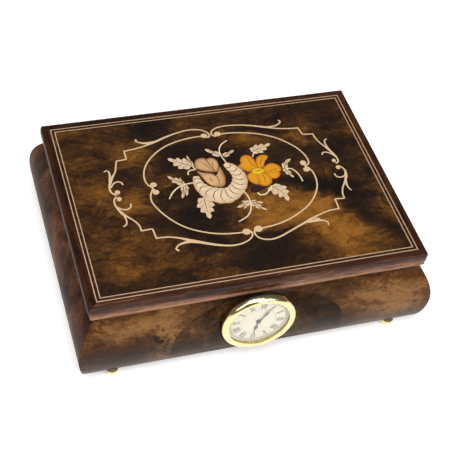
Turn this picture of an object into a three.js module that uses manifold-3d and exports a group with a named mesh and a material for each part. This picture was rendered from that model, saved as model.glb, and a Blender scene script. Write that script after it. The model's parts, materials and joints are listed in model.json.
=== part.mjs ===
// Inlaid walnut music and jewellery box with a quartz clock insert and an eighteen-note cylinder movement.
// Millimetres. +X right, +Y to the back, +Z up. Origin on the ground under the middle of the box.
import * as THREE from 'three';
import Module from 'manifold-3d';
import { mergeVertices } from 'three/addons/utils/BufferGeometryUtils.js';

const wasm = await Module();
wasm.setup();

// ---------------------------------------------------------------- driving dimensions
// Heights
const LID_TOP = 67.5;
const LID_BOTTOM = 54.8;
const RIM = 54.6;
const BODY_BOTTOM = 5;
const FLOOR_UNDER = 17.5;
const FLOOR_TOP = 21.5;

// The plan is measured from the outer stringing line: HX and HY are its half sizes,
// and d is a distance outside it.
const HX = 105.6;
const HY = 75.6;
const WALL_INNER = -6;
const BODY_Y = 1.5;

// Bulge of the case sides
const BULGE_D = 13.2;
const BULGE_Z = 27.7;
const UPPER_RADIUS = 38;
const LOWER_AXIS_D = 8.5;
const LOWER_AXIS_Z = 24;
const MITRE_GAP = 0.1;

// Lid
const VENEER = 0.8;
const STRING_HALF = 0.33;
const STRING_SPACING = 2.57;
const LID_CORNER_RADIUS = 4.7;
const LID_EDGE_D = 6.3;

// Feet
const FOOT_X = 96;
const FOOT_Y = 82;
const FOOT_RADIUS = 4.2;
const FOOT_CENTRE_Z = 3.9;

// Clock insert
const CLOCK_X = -3.5;
const CLOCK_Z = 37.2;
const BEZEL_RADIUS = 25;
const BEZEL_BACK = -87.5;
const CAN_RADIUS = 15.8;
const DIAL_TURN = 7;
const HOUR_ANGLE = 182;
const MINUTE_ANGLE = 24;

// Compartments
const PARTITION_X = 30.2;
const PARTITION_Y = 12.2;
const PARTITION_THICK = 3;
const PARTITION_TOP = 49.9;
const COVER_THICK = 1.5;
const INSIDE_X = HX + WALL_INNER;
const INSIDE_Y = HY + WALL_INNER;

// Hinges
const HINGE_X = 65;
const HINGE_D = 5.4;
const HINGE_Z = 54.7;
const HINGE_LEAF = 1;
const HINGE_WIDTH = 25;
const KNUCKLE_RADIUS = 1.6;
const HINGE_PIN_RADIUS = 0.8;

// Movement: bedplate corner frame
const MOVE = new THREE.Vector3(66, 45, FLOOR_TOP);
const BED_THICK = 2.5;
const AXIS_Z = 16;
const TOOTH_PITCH = 1.2566;
const BARREL_X = -14;
const BARREL_RADIUS = 12.8;
const BARREL_CAVITY = 11.2;
const CROWN_ROOT = 12.5;
const CROWN_TIP = 13.35;
const CROWN_TEETH = 60;
const PINION_TEETH = 15;
const PINION_X = -2;
const GREAT_TEETH = 40;
const GREAT_X = 22.1;
const CYLINDER_RADIUS = 6.5;
const CYLINDER_X0 = 1;
const CYLINDER_X1 = 21;
const NOTES = 18;
const NOTE_PITCH = 1.12;
const PIN_TIP = 7.1;
const ARBOR_RADIUS = 1;
const GOVERNOR_Y = 8;
const GOVERNOR_Z = 10;
const GOVERNOR_PINION_TEETH = 10;
const WORM_WHEEL_TEETH = 25;
const WORM_WHEEL_X = 24.8;
const WORM_Y = GOVERNOR_Y + 6.2;
const FAN_RADIUS = 4.8;
const STOP_ROD_X = 18.6;
const STOP_ROD_Y = 14.4;
const STOP_ROD_TOP = 31.6;

// Phases that put teeth opposite gaps at rest, in degrees
const PINION_PHASE = 12;
const GREAT_PHASE = 0;
const GOVERNOR_PHASE = 13;
const WORM_WHEEL_PHASE = 0;
const WORM_PHASE = 90;
const CROWN_PHASE = 4.5;

// ---------------------------------------------------------------- finishes
const finish = (color, roughness, metalness = 0, opacity = 1) => ({ color, roughness, metalness, opacity });
const WALNUT = finish('#4a2f20', 0.3);
const BURL_LIGHT = finish('#a5763f', 0.28);
const BURL_DARK = finish('#3a2415', 0.25);
const BURL_MEDALLION = finish('#453020', 0.3);
const MOULDING = finish('#3c231a', 0.22);
const STRINGING = finish('#c8aa86', 0.35);
const PLYWOOD = finish('#b48c5e', 0.7);
const VELVET = finish('#5c1420', 0.95);
const BRASS = finish('#e3c063', 0.18, 1);
const STEEL = finish('#9c9fa3', 0.35, 1);
const SPRING_STEEL = finish('#55596a', 0.3, 1);
const DIAL_IVORY = finish('#f4f0e4', 0.6);
const HAND_BLACK = finish('#33302a', 0.4);
const CLOCK_PLASTIC = finish('#1c1c1e', 0.5);
const WHITE_PLASTIC = finish('#e6e2d8', 0.45);
const CLEAR = finish('#dfe8ea', 0.05, 0, 0.35);

const group = new THREE.Group();
group.name = 'music_box';

function part(name, geometry, look) {
  const shape = geometry.clone();
  shape.translate(0, BODY_Y, 0);
  const material = new THREE.MeshStandardMaterial({
    color: look.color,
    roughness: look.roughness,
    metalness: look.metalness,
    opacity: look.opacity,
    transparent: look.opacity < 1,
  });
  const mesh = new THREE.Mesh(shape, material);
  mesh.name = name;
  group.add(mesh);
}

// ---------------------------------------------------------------- solid helpers
function toSolid(geometry) {
  const bare = geometry.clone();
  bare.deleteAttribute('normal');
  bare.deleteAttribute('uv');
  const merged = mergeVertices(bare, 1e-4);
  return new wasm.Manifold(new wasm.Mesh({
    numProp: 3,
    vertProperties: new Float32Array(merged.attributes.position.array),
    triVerts: new Uint32Array(merged.index.array),
  }));
}

function toGeometry(solid) {
  const mesh = solid.getMesh();
  const geometry = new THREE.BufferGeometry();
  geometry.setAttribute('position', new THREE.BufferAttribute(new Float32Array(mesh.vertProperties), 3));
  geometry.setIndex(new THREE.BufferAttribute(new Uint32Array(mesh.triVerts), 1));
  geometry.computeVertexNormals();
  return geometry;
}

function join(...geometries) {
  const solids = geometries.map(toSolid);
  return toGeometry(solids.reduce((sum, solid) => sum.add(solid)));
}

function cut(base, ...tools) {
  return toGeometry(tools.map(toSolid).reduce((rest, tool) => rest.subtract(tool), toSolid(base)));
}

function common(a, b) {
  return toGeometry(toSolid(a).intersect(toSolid(b)));
}

function box(x0, x1, y0, y1, z0, z1) {
  const geometry = new THREE.BoxGeometry(x1 - x0, y1 - y0, z1 - z0);
  geometry.translate((x0 + x1) / 2, (y0 + y1) / 2, (z0 + z1) / 2);
  return geometry;
}

function shapeOf(points, holes = []) {
  const shape = new THREE.Shape(points.map(([x, y]) => new THREE.Vector2(x, y)));
  for (const hole of holes) {
    shape.holes.push(new THREE.Path(hole.map(([x, y]) => new THREE.Vector2(x, y))));
  }
  return shape;
}

function circle(cx, cy, radius, sides) {
  return Array.from({ length: sides }, (_, i) => {
    const angle = (2 * Math.PI * i) / sides;
    return [cx + radius * Math.cos(angle), cy + radius * Math.sin(angle)];
  });
}

// Extrusions of an outline along each axis: along Z from (x, y), along X from (y, z), along Y from (x, z).
function alongZ(shape, z0, z1) {
  const geometry = new THREE.ExtrudeGeometry(shape, { depth: z1 - z0, bevelEnabled: false });
  geometry.translate(0, 0, z0);
  return geometry;
}

function alongX(shape, x0, x1) {
  const geometry = alongZ(shape, 0, x1 - x0);
  geometry.applyMatrix4(new THREE.Matrix4().set(0, 0, 1, x0, 1, 0, 0, 0, 0, 1, 0, 0, 0, 0, 0, 1));
  return geometry;
}

function alongY(shape, y0, y1) {
  const geometry = alongZ(shape, 0, y1 - y0);
  geometry.applyMatrix4(new THREE.Matrix4().set(1, 0, 0, 0, 0, 0, -1, y1, 0, 1, 0, 0, 0, 0, 0, 1));
  return geometry;
}

// Turned solids from (radius, height) outlines. The outline runs from the axis to the axis,
// or is a closed ring.
function turnZ(points, sides) {
  const geometry = new THREE.LatheGeometry(points.map(([r, h]) => new THREE.Vector2(r, h)), sides);
  geometry.rotateX(Math.PI / 2);
  return outward(geometry);
}

function turnX(points, sides) {
  return turnZ(points, sides).rotateY(Math.PI / 2);
}

function turnY(points, sides) {
  return turnZ(points, sides).rotateX(-Math.PI / 2);
}

function ringOutline(inner, outer, h0, h1) {
  return [[inner, h0], [outer, h0], [outer, h1], [inner, h1], [inner, h0]];
}

function rodOutline(radius, h0, h1) {
  return [[0, h0], [radius, h0], [radius, h1], [0, h1]];
}

// Turns a closed surface right side out when its outline ran the other way.
function outward(geometry) {
  const merged = mergeVertices(geometry.deleteAttribute('uv').deleteAttribute('normal'), 1e-4);
  const index = merged.index.array;
  const p = merged.attributes.position;
  const corner = (i) => new THREE.Vector3().fromBufferAttribute(p, i);
  const kept = [];
  let volume = 0;
  for (let i = 0; i < index.length; i += 3) {
    const [a, b, c] = [index[i], index[i + 1], index[i + 2]];
    if (a === b || b === c || c === a) {
      continue;
    }
    kept.push([a, b, c]);
    volume += corner(a).dot(corner(b).cross(corner(c)));
  }
  const faces = volume > 0 ? kept : kept.map(([a, b, c]) => [a, c, b]);
  merged.setIndex(faces.flat());
  merged.computeVertexNormals();
  return merged;
}

// A straight bar on one side of the box, mitred at both ends. The outline is (d, z); mitred ends follow d.
function mitredBar(outline, side) {
  const geometry = new THREE.ExtrudeGeometry(shapeOf(outline), { depth: 2, bevelEnabled: false });
  const p = geometry.attributes.position;
  for (let i = 0; i < p.count; i += 1) {
    const d = p.getX(i);
    const z = p.getY(i);
    const s = p.getZ(i) - 1;
    const alongFrontBack = s * (HX + d - MITRE_GAP);
    const alongLeftRight = s * (HY + d - MITRE_GAP);
    if (side === 'front') {
      p.setXYZ(i, -alongFrontBack, -(HY + d), z);
    } else if (side === 'back') {
      p.setXYZ(i, alongFrontBack, HY + d, z);
    } else if (side === 'left') {
      p.setXYZ(i, -(HX + d), alongLeftRight, z);
    } else {
      p.setXYZ(i, HX + d, -alongLeftRight, z);
    }
  }
  geometry.computeVertexNormals();
  return geometry;
}

// A flat rectangular frame around the middle of the box between two distances from the outer stringing line.
function flatFrame(dOuter, dInner, z0, z1) {
  const rectangle = (d) => [
    [-HX - d, -HY - d],
    [HX + d, -HY - d],
    [HX + d, HY + d],
    [-HX - d, HY + d],
  ];
  return alongZ(shapeOf(rectangle(dOuter), [rectangle(dInner)]), z0, z1);
}

// A gear outline: straight-flanked teeth, with a tooth centred on the phase angle and an optional bore.
function gearOutline(teeth, rootRadius, tipRadius, rootWidth, tipWidth, phaseDegrees, bore = 0) {
  const phase = THREE.MathUtils.degToRad(phaseDegrees);
  const points = [];
  for (let i = 0; i < teeth; i += 1) {
    const middle = phase + (2 * Math.PI * i) / teeth;
    const halfRoot = rootWidth / 2 / rootRadius;
    const halfTip = tipWidth / 2 / tipRadius;
    points.push([rootRadius * Math.cos(middle - halfRoot), rootRadius * Math.sin(middle - halfRoot)]);
    points.push([tipRadius * Math.cos(middle - halfTip), tipRadius * Math.sin(middle - halfTip)]);
    points.push([tipRadius * Math.cos(middle + halfTip), tipRadius * Math.sin(middle + halfTip)]);
    points.push([rootRadius * Math.cos(middle + halfRoot), rootRadius * Math.sin(middle + halfRoot)]);
  }
  return shapeOf(points, bore > 0 ? [circle(0, 0, bore, 16)] : []);
}

// ---------------------------------------------------------------- case
function bulge(z) {
  if (z > BULGE_Z) {
    return BULGE_D - UPPER_RADIUS + Math.sqrt(UPPER_RADIUS ** 2 - (z - BULGE_Z) ** 2);
  }
  return BULGE_D - LOWER_AXIS_D + LOWER_AXIS_D * Math.sqrt(1 - ((z - BULGE_Z) / LOWER_AXIS_Z) ** 2);
}

function bulgeCurve(inset) {
  const upper = Array.from({ length: 9 }, (_, i) => RIM - ((RIM - BULGE_Z) * i) / 9);
  const lower = Array.from({ length: 9 }, (_, i) => {
    const angle = (Math.asin((BULGE_Z - BODY_BOTTOM) / LOWER_AXIS_Z) * i) / 8;
    return BULGE_Z - LOWER_AXIS_Z * Math.sin(angle);
  });
  return [...upper, ...lower].map((z) => [bulge(z) - inset, z]);
}

const caseOutline = [[WALL_INNER, BODY_BOTTOM], [WALL_INNER, RIM], ...bulgeCurve(0)];

const hingeSides = [-HINGE_X, HINGE_X];
const hingeY = HY + HINGE_D;
const leafPockets = hingeSides.map((x) => box(
  x - HINGE_WIDTH / 2 - 0.2,
  x + HINGE_WIDTH / 2 + 0.2,
  HY - 4.2,
  HY + 12,
  RIM - HINGE_LEAF - 0.05,
  RIM + 2,
));

// The dark burl medallion is a thin veneer let into the bulging front, wider than the clock.
const MEDALLION_X = -2;
const MEDALLION_HALF = 58;
const MEDALLION_BASE_Z = 22.5;
const MEDALLION_RISE = 30.5;
const MEDALLION_POWER = 2.4;

function medallionOutline(grow) {
  const half = MEDALLION_HALF + grow;
  const rise = MEDALLION_RISE + grow;
  const steps = 20;
  const arch = Array.from({ length: steps + 1 }, (_, i) => {
    const angle = (Math.PI * i) / steps;
    const c = Math.cos(angle);
    const x = half * Math.sign(c) * Math.abs(c) ** (2 / MEDALLION_POWER);
    const z = rise * Math.sin(angle) ** (2 / MEDALLION_POWER);
    return [MEDALLION_X + x, MEDALLION_BASE_Z + z];
  });
  return [...arch, [MEDALLION_X - half, -1], [MEDALLION_X + half, -1]];
}

function veneerSkin(proud, depth) {
  const outer = bulgeCurve(-proud);
  const inner = bulgeCurve(depth).reverse();
  return mitredBar([...outer, ...inner].reverse(), 'front');
}

function clockBore(radius, y0, y1) {
  const bore = turnY(rodOutline(radius, y0, y1), 48);
  bore.translate(CLOCK_X, 0, CLOCK_Z);
  return bore;
}

const spotFace = clockBore(BEZEL_RADIUS + 0.5, -110, BEZEL_BACK + 1.2);
const caseBore = clockBore(CAN_RADIUS + 0.6, -110, -60);
const medallionPocket = common(
  veneerSkin(1, VENEER + 0.05),
  alongY(shapeOf(medallionOutline(0.05)), -100, -60),
);
const medallionBlank = common(veneerSkin(0, VENEER), alongY(shapeOf(medallionOutline(0)), -100, -60));

part('case_front', cut(mitredBar(caseOutline, 'front'), medallionPocket, spotFace, caseBore), BURL_LIGHT);
part('front_medallion', cut(medallionBlank, spotFace, caseBore), BURL_MEDALLION);
part('case_back', cut(mitredBar(caseOutline, 'back'), ...leafPockets), WALNUT);
part('case_left', mitredBar(caseOutline, 'left'), WALNUT);
part('case_right', mitredBar(caseOutline, 'right'), WALNUT);

const ARBOR_CLEARANCE_HOLE = 4.2;
const keyX = MOVE.x + BARREL_X;
part('case_floor', alongZ(
  shapeOf([
    [-INSIDE_X + 0.1, -INSIDE_Y + 0.1],
    [INSIDE_X - 0.1, -INSIDE_Y + 0.1],
    [INSIDE_X - 0.1, INSIDE_Y - 0.1],
    [-INSIDE_X + 0.1, INSIDE_Y - 0.1],
  ], [circle(keyX, MOVE.y, ARBOR_CLEARANCE_HOLE, 24)]),
  FLOOR_UNDER,
  FLOOR_TOP,
), PLYWOOD);

part('partition_side', box(
  PARTITION_X,
  PARTITION_X + PARTITION_THICK,
  -INSIDE_Y + 0.1,
  INSIDE_Y - 0.1,
  FLOOR_TOP,
  PARTITION_TOP,
), VELVET);
part('partition_cross', box(
  PARTITION_X + PARTITION_THICK + 0.05,
  INSIDE_X - 0.1,
  PARTITION_Y,
  PARTITION_Y + PARTITION_THICK,
  FLOOR_TOP,
  PARTITION_TOP,
), VELVET);

const coverZ = PARTITION_TOP;
part('movement_cover', alongZ(
  shapeOf([
    [PARTITION_X + 0.3, PARTITION_Y + 0.3],
    [INSIDE_X - 0.3, PARTITION_Y + 0.3],
    [INSIDE_X - 0.3, INSIDE_Y - 0.3],
    [PARTITION_X + 0.3, INSIDE_Y - 0.3],
  ], [circle(MOVE.x + STOP_ROD_X, MOVE.y + STOP_ROD_Y, 1.6, 16)]),
  coverZ,
  coverZ + COVER_THICK,
), CLEAR);

// Soft linings of the jewellery and ring compartments
const LINING = 1;
const LINING_TOP = 50.9;
const CUSHION_TOP = 39.5;
const LID_LINING_UNDER = 53.5;
const PAD_THICK = 2.5;
const trayX0 = -INSIDE_X + 0.2;
const trayX1 = PARTITION_X - 0.2;
const trayY = INSIDE_Y - 0.2;
const rectangle = (x0, x1, y0, y1) => [[x0, y0], [x1, y0], [x1, y1], [x0, y1]];

part('tray_lining', alongZ(
  shapeOf(
    rectangle(trayX0, trayX1, -trayY, trayY),
    [rectangle(trayX0 + LINING, trayX1 - LINING, -trayY + LINING, trayY - LINING)],
  ),
  FLOOR_TOP + 0.05,
  LINING_TOP,
), VELVET);
part('tray_pad', box(
  trayX0 + LINING + 0.2,
  trayX1 - LINING - 0.2,
  -trayY + LINING + 0.2,
  trayY - LINING - 0.2,
  FLOOR_TOP + 0.05,
  FLOOR_TOP + PAD_THICK,
), VELVET);
part('ring_cushion', box(
  PARTITION_X + PARTITION_THICK + 0.3,
  INSIDE_X - 0.3,
  -INSIDE_Y + 0.3,
  PARTITION_Y - 0.3,
  FLOOR_TOP + 0.05,
  CUSHION_TOP,
), VELVET);

// Ball feet with a flat where they meet the box and a small flat underneath
const footOutline = [[0, BODY_BOTTOM]];
for (let i = 0; i <= 6; i += 1) {
  const topAngle = Math.asin((BODY_BOTTOM - FOOT_CENTRE_Z) / FOOT_RADIUS);
  const bottomAngle = -Math.asin(FOOT_CENTRE_Z / FOOT_RADIUS);
  const angle = topAngle + ((bottomAngle - topAngle) * i) / 6;
  footOutline.push([FOOT_RADIUS * Math.cos(angle), FOOT_CENTRE_Z + FOOT_RADIUS * Math.sin(angle)]);
}
footOutline.push([0, 0]);
const CORNERS = [['left', -1, -1], ['right', 1, -1], ['back_left', -1, 1], ['back_right', 1, 1]];
for (const [name, sx, sy] of CORNERS) {
  const foot = turnZ(footOutline, 14);
  foot.translate(sx * FOOT_X, sy * FOOT_Y, 0);
  part(`foot_${sy < 0 ? `front_${name}` : name}`, foot, BRASS);
}

// ---------------------------------------------------------------- hinges
const KNUCKLE_SPLIT = 4.2;
const PIN_HOLE = HINGE_PIN_RADIUS + 0.12;

function knuckle(x0, x1) {
  const barrel = turnX(ringOutline(PIN_HOLE, KNUCKLE_RADIUS, x0, x1), 10);
  barrel.translate(0, hingeY, HINGE_Z);
  return barrel;
}

// Clears the pin and the other leaf's knuckles out of a leaf.
function boreThrough(x0, x1, radius) {
  const tool = turnX(rodOutline(radius, x0, x1), 10);
  tool.translate(0, hingeY, HINGE_Z);
  return tool;
}

for (const x of hingeSides) {
  const side = x < 0 ? 'left' : 'right';
  const x0 = x - HINGE_WIDTH / 2;
  const x1 = x + HINGE_WIDTH / 2;
  const caseLeaf = join(
    box(x0, x1, HY - 4, hingeY, RIM - HINGE_LEAF, RIM - 0.05),
    knuckle(x0, x - KNUCKLE_SPLIT),
    knuckle(x + KNUCKLE_SPLIT, x1),
  );
  const lidLeaf = join(
    box(x0, x1, HY - 4, hingeY, LID_BOTTOM + 0.05, LID_BOTTOM + HINGE_LEAF),
    knuckle(x - KNUCKLE_SPLIT + 0.15, x + KNUCKLE_SPLIT - 0.15),
  );
  part(`hinge_case_leaf_${side}`, cut(
    caseLeaf,
    boreThrough(x0 - 1, x1 + 1, PIN_HOLE),
    boreThrough(x - KNUCKLE_SPLIT, x + KNUCKLE_SPLIT, KNUCKLE_RADIUS + 0.15),
  ), BRASS);
  part(`hinge_lid_leaf_${side}`, cut(
    lidLeaf,
    boreThrough(x0 - 1, x1 + 1, PIN_HOLE),
    boreThrough(x0 - 1, x - KNUCKLE_SPLIT + 0.15, KNUCKLE_RADIUS + 0.15),
    boreThrough(x + KNUCKLE_SPLIT - 0.15, x1 + 1, KNUCKLE_RADIUS + 0.15),
  ), BRASS);
  const pin = turnX(rodOutline(HINGE_PIN_RADIUS, x0 + 0.1, x1 - 0.1), 12);
  pin.translate(0, hingeY, HINGE_Z);
  part(`hinge_pin_${side}`, pin, BRASS);
}

// ---------------------------------------------------------------- lid
const lidOutline = [
  [STRING_HALF + 0.05, LID_BOTTOM],
  [STRING_HALF + 0.05, LID_TOP],
  [3.75, LID_TOP],
  [4.75, LID_TOP - 0.2],
  [5.6, LID_TOP - 0.75],
  [6.1, LID_TOP - 1.6],
  [LID_EDGE_D, LID_TOP - 2.6],
  [LID_EDGE_D, LID_TOP - 5.4],
  [6, LID_TOP - 6.4],
  [5.3, LID_TOP - 7],
  [4.6, LID_TOP - 7.4],
  [4.6, LID_TOP - 8.1],
  [5, LID_TOP - 8.8],
  [5.1, LID_TOP - 9.8],
  [4.8, LID_TOP - 11],
  [4.2, LID_TOP - 12],
  [3.6, LID_BOTTOM],
];

function roundedPlan(halfX, halfY, radius) {
  const points = [];
  for (const [sx, sy, start] of [[1, 1, 0], [-1, 1, 90], [-1, -1, 180], [1, -1, 270]]) {
    for (let i = 0; i <= 4; i += 1) {
      const angle = THREE.MathUtils.degToRad(start + (90 * i) / 4);
      points.push([
        sx * (halfX - radius) + radius * Math.cos(angle),
        sy * (halfY - radius) + radius * Math.sin(angle),
      ]);
    }
  }
  return points;
}

const lidPlan = alongZ(
  shapeOf(roundedPlan(HX + LID_EDGE_D + 0.3, HY + LID_EDGE_D + 0.3, LID_CORNER_RADIUS)),
  LID_BOTTOM - 1,
  LID_TOP + 1,
);
const lidLeafPockets = hingeSides.map((x) => box(
  x - HINGE_WIDTH / 2 - 0.2,
  x + HINGE_WIDTH / 2 + 0.2,
  HY - 4.2,
  HY + 12,
  LID_BOTTOM - 1,
  LID_BOTTOM + HINGE_LEAF + 0.05,
));
const knucklePockets = hingeSides.map((x) => box(
  x - HINGE_WIDTH / 2 - 0.2,
  x + HINGE_WIDTH / 2 + 0.2,
  hingeY - KNUCKLE_RADIUS - 0.4,
  HY + 12,
  LID_BOTTOM - 1,
  HINGE_Z + KNUCKLE_RADIUS + 0.3,
));
for (const side of ['front', 'back', 'left', 'right']) {
  const bar = common(mitredBar(lidOutline, side), lidPlan);
  part(
    `lid_moulding_${side}`,
    side === 'back' ? cut(bar, ...lidLeafPockets, ...knucklePockets) : bar,
    MOULDING,
  );
}

const coreTop = LID_TOP - VENEER;
part('lid_core', cut(
  box(-HX - STRING_HALF, HX + STRING_HALF, -HY - STRING_HALF, HY + STRING_HALF, LID_BOTTOM, coreTop),
  ...lidLeafPockets,
), WALNUT);

const GAP = 0.02;
const innerLine = -STRING_SPACING;
part('string_outer', flatFrame(STRING_HALF, -STRING_HALF, coreTop, LID_TOP), STRINGING);
const crossband = flatFrame(-STRING_HALF - GAP, innerLine + STRING_HALF + GAP, coreTop, LID_TOP);
part('lid_crossband', crossband, MOULDING);
const innerString = flatFrame(innerLine + STRING_HALF, innerLine - STRING_HALF, coreTop, LID_TOP);
part('string_inner', innerString, STRINGING);
const fieldD = innerLine - STRING_HALF - GAP;
part('lid_field', box(-HX - fieldD, HX + fieldD, -HY - fieldD, HY + fieldD, coreTop, LID_TOP), BURL_DARK);
part('lid_lining', box(
  -INSIDE_X + 1.5,
  INSIDE_X - 1.5,
  -INSIDE_Y + 1.5,
  INSIDE_Y - 1.5,
  LID_LINING_UNDER,
  LID_BOTTOM - 0.05,
), VELVET);

// ---------------------------------------------------------------- clock insert
function clockPart(name, geometry, look) {
  geometry.translate(CLOCK_X, 0, CLOCK_Z);
  part(name, geometry, look);
}

clockPart('clock_bezel', turnY([
  [21.2, -87.5],
  [BEZEL_RADIUS, -87.5],
  [BEZEL_RADIUS, -88.8],
  [24.6, -90.2],
  [23.7, -91.3],
  [22.6, -91.8],
  [21.4, -91.6],
  [20.3, -90.9],
  [20.3, -90.6],
  [21.2, -90.6],
  [21.2, -87.5],
], 40), BRASS);
clockPart('clock_gasket', turnY(ringOutline(CAN_RADIUS + 0.8, 24.4, -87.3, -86.4), 28), CLOCK_PLASTIC);
clockPart('clock_can', turnY([
  [0, -89.2],
  [0.8, -89.2],
  [0.8, -87.95],
  [21, -87.95],
  [21, -87.6],
  [CAN_RADIUS, -87.4],
  [CAN_RADIUS, -72],
  [0, -72],
], 28), CLOCK_PLASTIC);
clockPart('clock_dial', turnY(ringOutline(1.6, 21, -88.5, -88.05), 32), DIAL_IVORY);
clockPart('clock_lens', turnY([
  [0, -90.5],
  [12, -90.4],
  [21, -90.2],
  [21, -89.85],
  [0, -89.95],
], 32), CLEAR);

// Hands point up at zero and turn clockwise as seen from the front.
function hand(outline, holeRadius, y0, y1, clockDegrees) {
  const flat = alongY(shapeOf(outline, holeRadius > 0 ? [circle(0, 0, holeRadius, 16)] : []), y0, y1);
  flat.rotateY(THREE.MathUtils.degToRad(clockDegrees));
  return flat;
}

const hourOutline = [
  [1.5, -0.8], [1.6, 0.3], [1.2, 1.4], [0.5, 2.2], [0.5, 4.6], [1.3, 6.4], [0.7, 8], [0.3, 9], [0.2, 11.6],
  [-0.2, 11.6], [-0.3, 9], [-0.7, 8], [-1.3, 6.4], [-0.5, 4.6], [-0.5, 2.2], [-1.2, 1.4], [-1.6, 0.3],
  [-1.5, -0.8], [-0.7, -1.5], [0.7, -1.5],
];
const minuteOutline = [
  [1.3, -0.5], [1.3, 0.5], [0.5, 1.4], [0.42, 6], [0.8, 8.5], [0.3, 11], [0.12, 16.2], [-0.12, 16.2],
  [-0.3, 11], [-0.8, 8.5], [-0.42, 6], [-0.5, 1.4], [-1.3, 0.5], [-1.3, -0.5], [-0.5, -1.3], [0.5, -1.3],
];
clockPart('hour_hand', hand(hourOutline, 1, -88.95, -88.7, HOUR_ANGLE + DIAL_TURN), HAND_BLACK);
clockPart('minute_hand', hand(minuteOutline, 0, -89.65, -89.4, MINUTE_ANGLE + DIAL_TURN), HAND_BLACK);
clockPart('setting_knob', alongY(gearOutline(14, 3.6, 4, 0.9, 0.6, 0), -71.7, -69.9), CLOCK_PLASTIC);

// ---------------------------------------------------------------- music movement
function movementPart(name, geometry, look) {
  geometry.translate(MOVE.x, MOVE.y, MOVE.z);
  part(name, geometry, look);
}

function standing(geometry, x, y) {
  geometry.translate(x, y, 0);
  return geometry;
}

function lying(geometry, y, z) {
  geometry.translate(0, y, z);
  return geometry;
}

// Bedplate with the raised comb seat
const combScrewX = [5.2, 16.8];
const COMB_SCREW_Y = -20.8;
const COMB_SEAT_TOP = 15.9;
const SCREW_HOLE = 1.3;
const bedBlank = alongZ(shapeOf([
  [-29, -14], [-24, -19], [-3, -19], [-3, -25], [30, -25], [30, 17], [28, 19], [-24, 19], [-29, 14],
], [circle(BARREL_X, 0, 2.4, 20)]), 0, BED_THICK);
const combSeat = box(0.2, 21.6, -24.8, -16.8, BED_THICK - 0.5, COMB_SEAT_TOP);
const seatHoles = combScrewX.map((x) => standing(
  turnZ(rodOutline(SCREW_HOLE, COMB_SEAT_TOP - 6.5, COMB_SEAT_TOP + 1), 14),
  x,
  COMB_SCREW_Y,
));
const rodHole = standing(turnZ(rodOutline(0.85, -1, BED_THICK + 1), 12), STOP_ROD_X, STOP_ROD_Y);
movementPart('bedplate', cut(join(bedBlank, combSeat), ...seatHoles, rodHole), STEEL);

// Comb: eighteen teeth, longest in the bass
const toothHalf = 0.38;
const firstTooth = CYLINDER_X0 + 0.48;
const combOutline = [[0.4, -24.6], [21.4, -24.6], [21.4, -16.6]];
for (let i = NOTES - 1; i >= 0; i -= 1) {
  const x = firstTooth + i * NOTE_PITCH;
  const root = -16.4 + (3.2 * i) / (NOTES - 1);
  combOutline.push([x + toothHalf, root], [x + toothHalf, -7.5]);
  combOutline.push([x - toothHalf, -7.5], [x - toothHalf, root]);
}
combOutline.push([0.4, -16.6]);
movementPart('comb', alongZ(
  shapeOf(combOutline, combScrewX.map((x) => circle(x, COMB_SCREW_Y, SCREW_HOLE, 14))),
  COMB_SEAT_TOP + 0.02,
  COMB_SEAT_TOP + 0.9,
), SPRING_STEEL);
combScrewX.forEach((x, i) => {
  const z = COMB_SEAT_TOP + 0.92;
  const screw = cut(
    turnZ([[0, z - 6], [1.1, z - 6], [1.1, z], [2.2, z], [2.2, z + 1], [1.8, z + 1.4], [0, z + 1.4]], 16),
    box(-2.5, 2.5, -0.25, 0.25, z + 0.8, z + 2),
  );
  movementPart(`comb_screw_${i + 1}`, standing(screw, x, COMB_SCREW_Y), STEEL);
});

// Spring barrel with a crown of upright teeth on its rim
const barrelCup = turnZ([
  [2.4, 3.2], [BARREL_RADIUS, 3.2], [BARREL_RADIUS, CROWN_ROOT], [BARREL_CAVITY, CROWN_ROOT],
  [BARREL_CAVITY, 4.2], [2.4, 4.2], [2.4, 3.2],
], 36);
const crownTooth = shapeOf([
  [-0.3, CROWN_ROOT - 0.2], [0.3, CROWN_ROOT - 0.2], [0.17, CROWN_TIP], [-0.17, CROWN_TIP],
]);
const crown = Array.from({ length: CROWN_TEETH }, (_, i) => {
  const tooth = alongX(crownTooth, BARREL_CAVITY + 0.05, BARREL_RADIUS - 0.05);
  tooth.rotateZ(THREE.MathUtils.degToRad(CROWN_PHASE + (360 * i) / CROWN_TEETH));
  return tooth;
});
movementPart('spring_barrel', standing(join(barrelCup, ...crown), BARREL_X, 0), BRASS);
movementPart('barrel_cover', standing(turnZ(ringOutline(2.4, 11, 11.4, 12.3), 20), BARREL_X, 0), BRASS);

// Mainspring: a flat ribbon wound in a spiral inside the barrel
const SPRING_TURNS = 4.5;
const SPRING_STEPS = 54;
const ribbon = (offset) => Array.from({ length: SPRING_STEPS + 1 }, (_, i) => {
  const angle = (2 * Math.PI * SPRING_TURNS * i) / SPRING_STEPS;
  const radius = 3.4 + (7.1 * i) / SPRING_STEPS + offset;
  return [radius * Math.cos(angle), radius * Math.sin(angle)];
});
movementPart('mainspring', standing(
  alongZ(shapeOf([...ribbon(0.2), ...ribbon(-0.2).reverse()]), 4.6, 11),
  BARREL_X,
  0,
), SPRING_STEEL);

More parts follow.
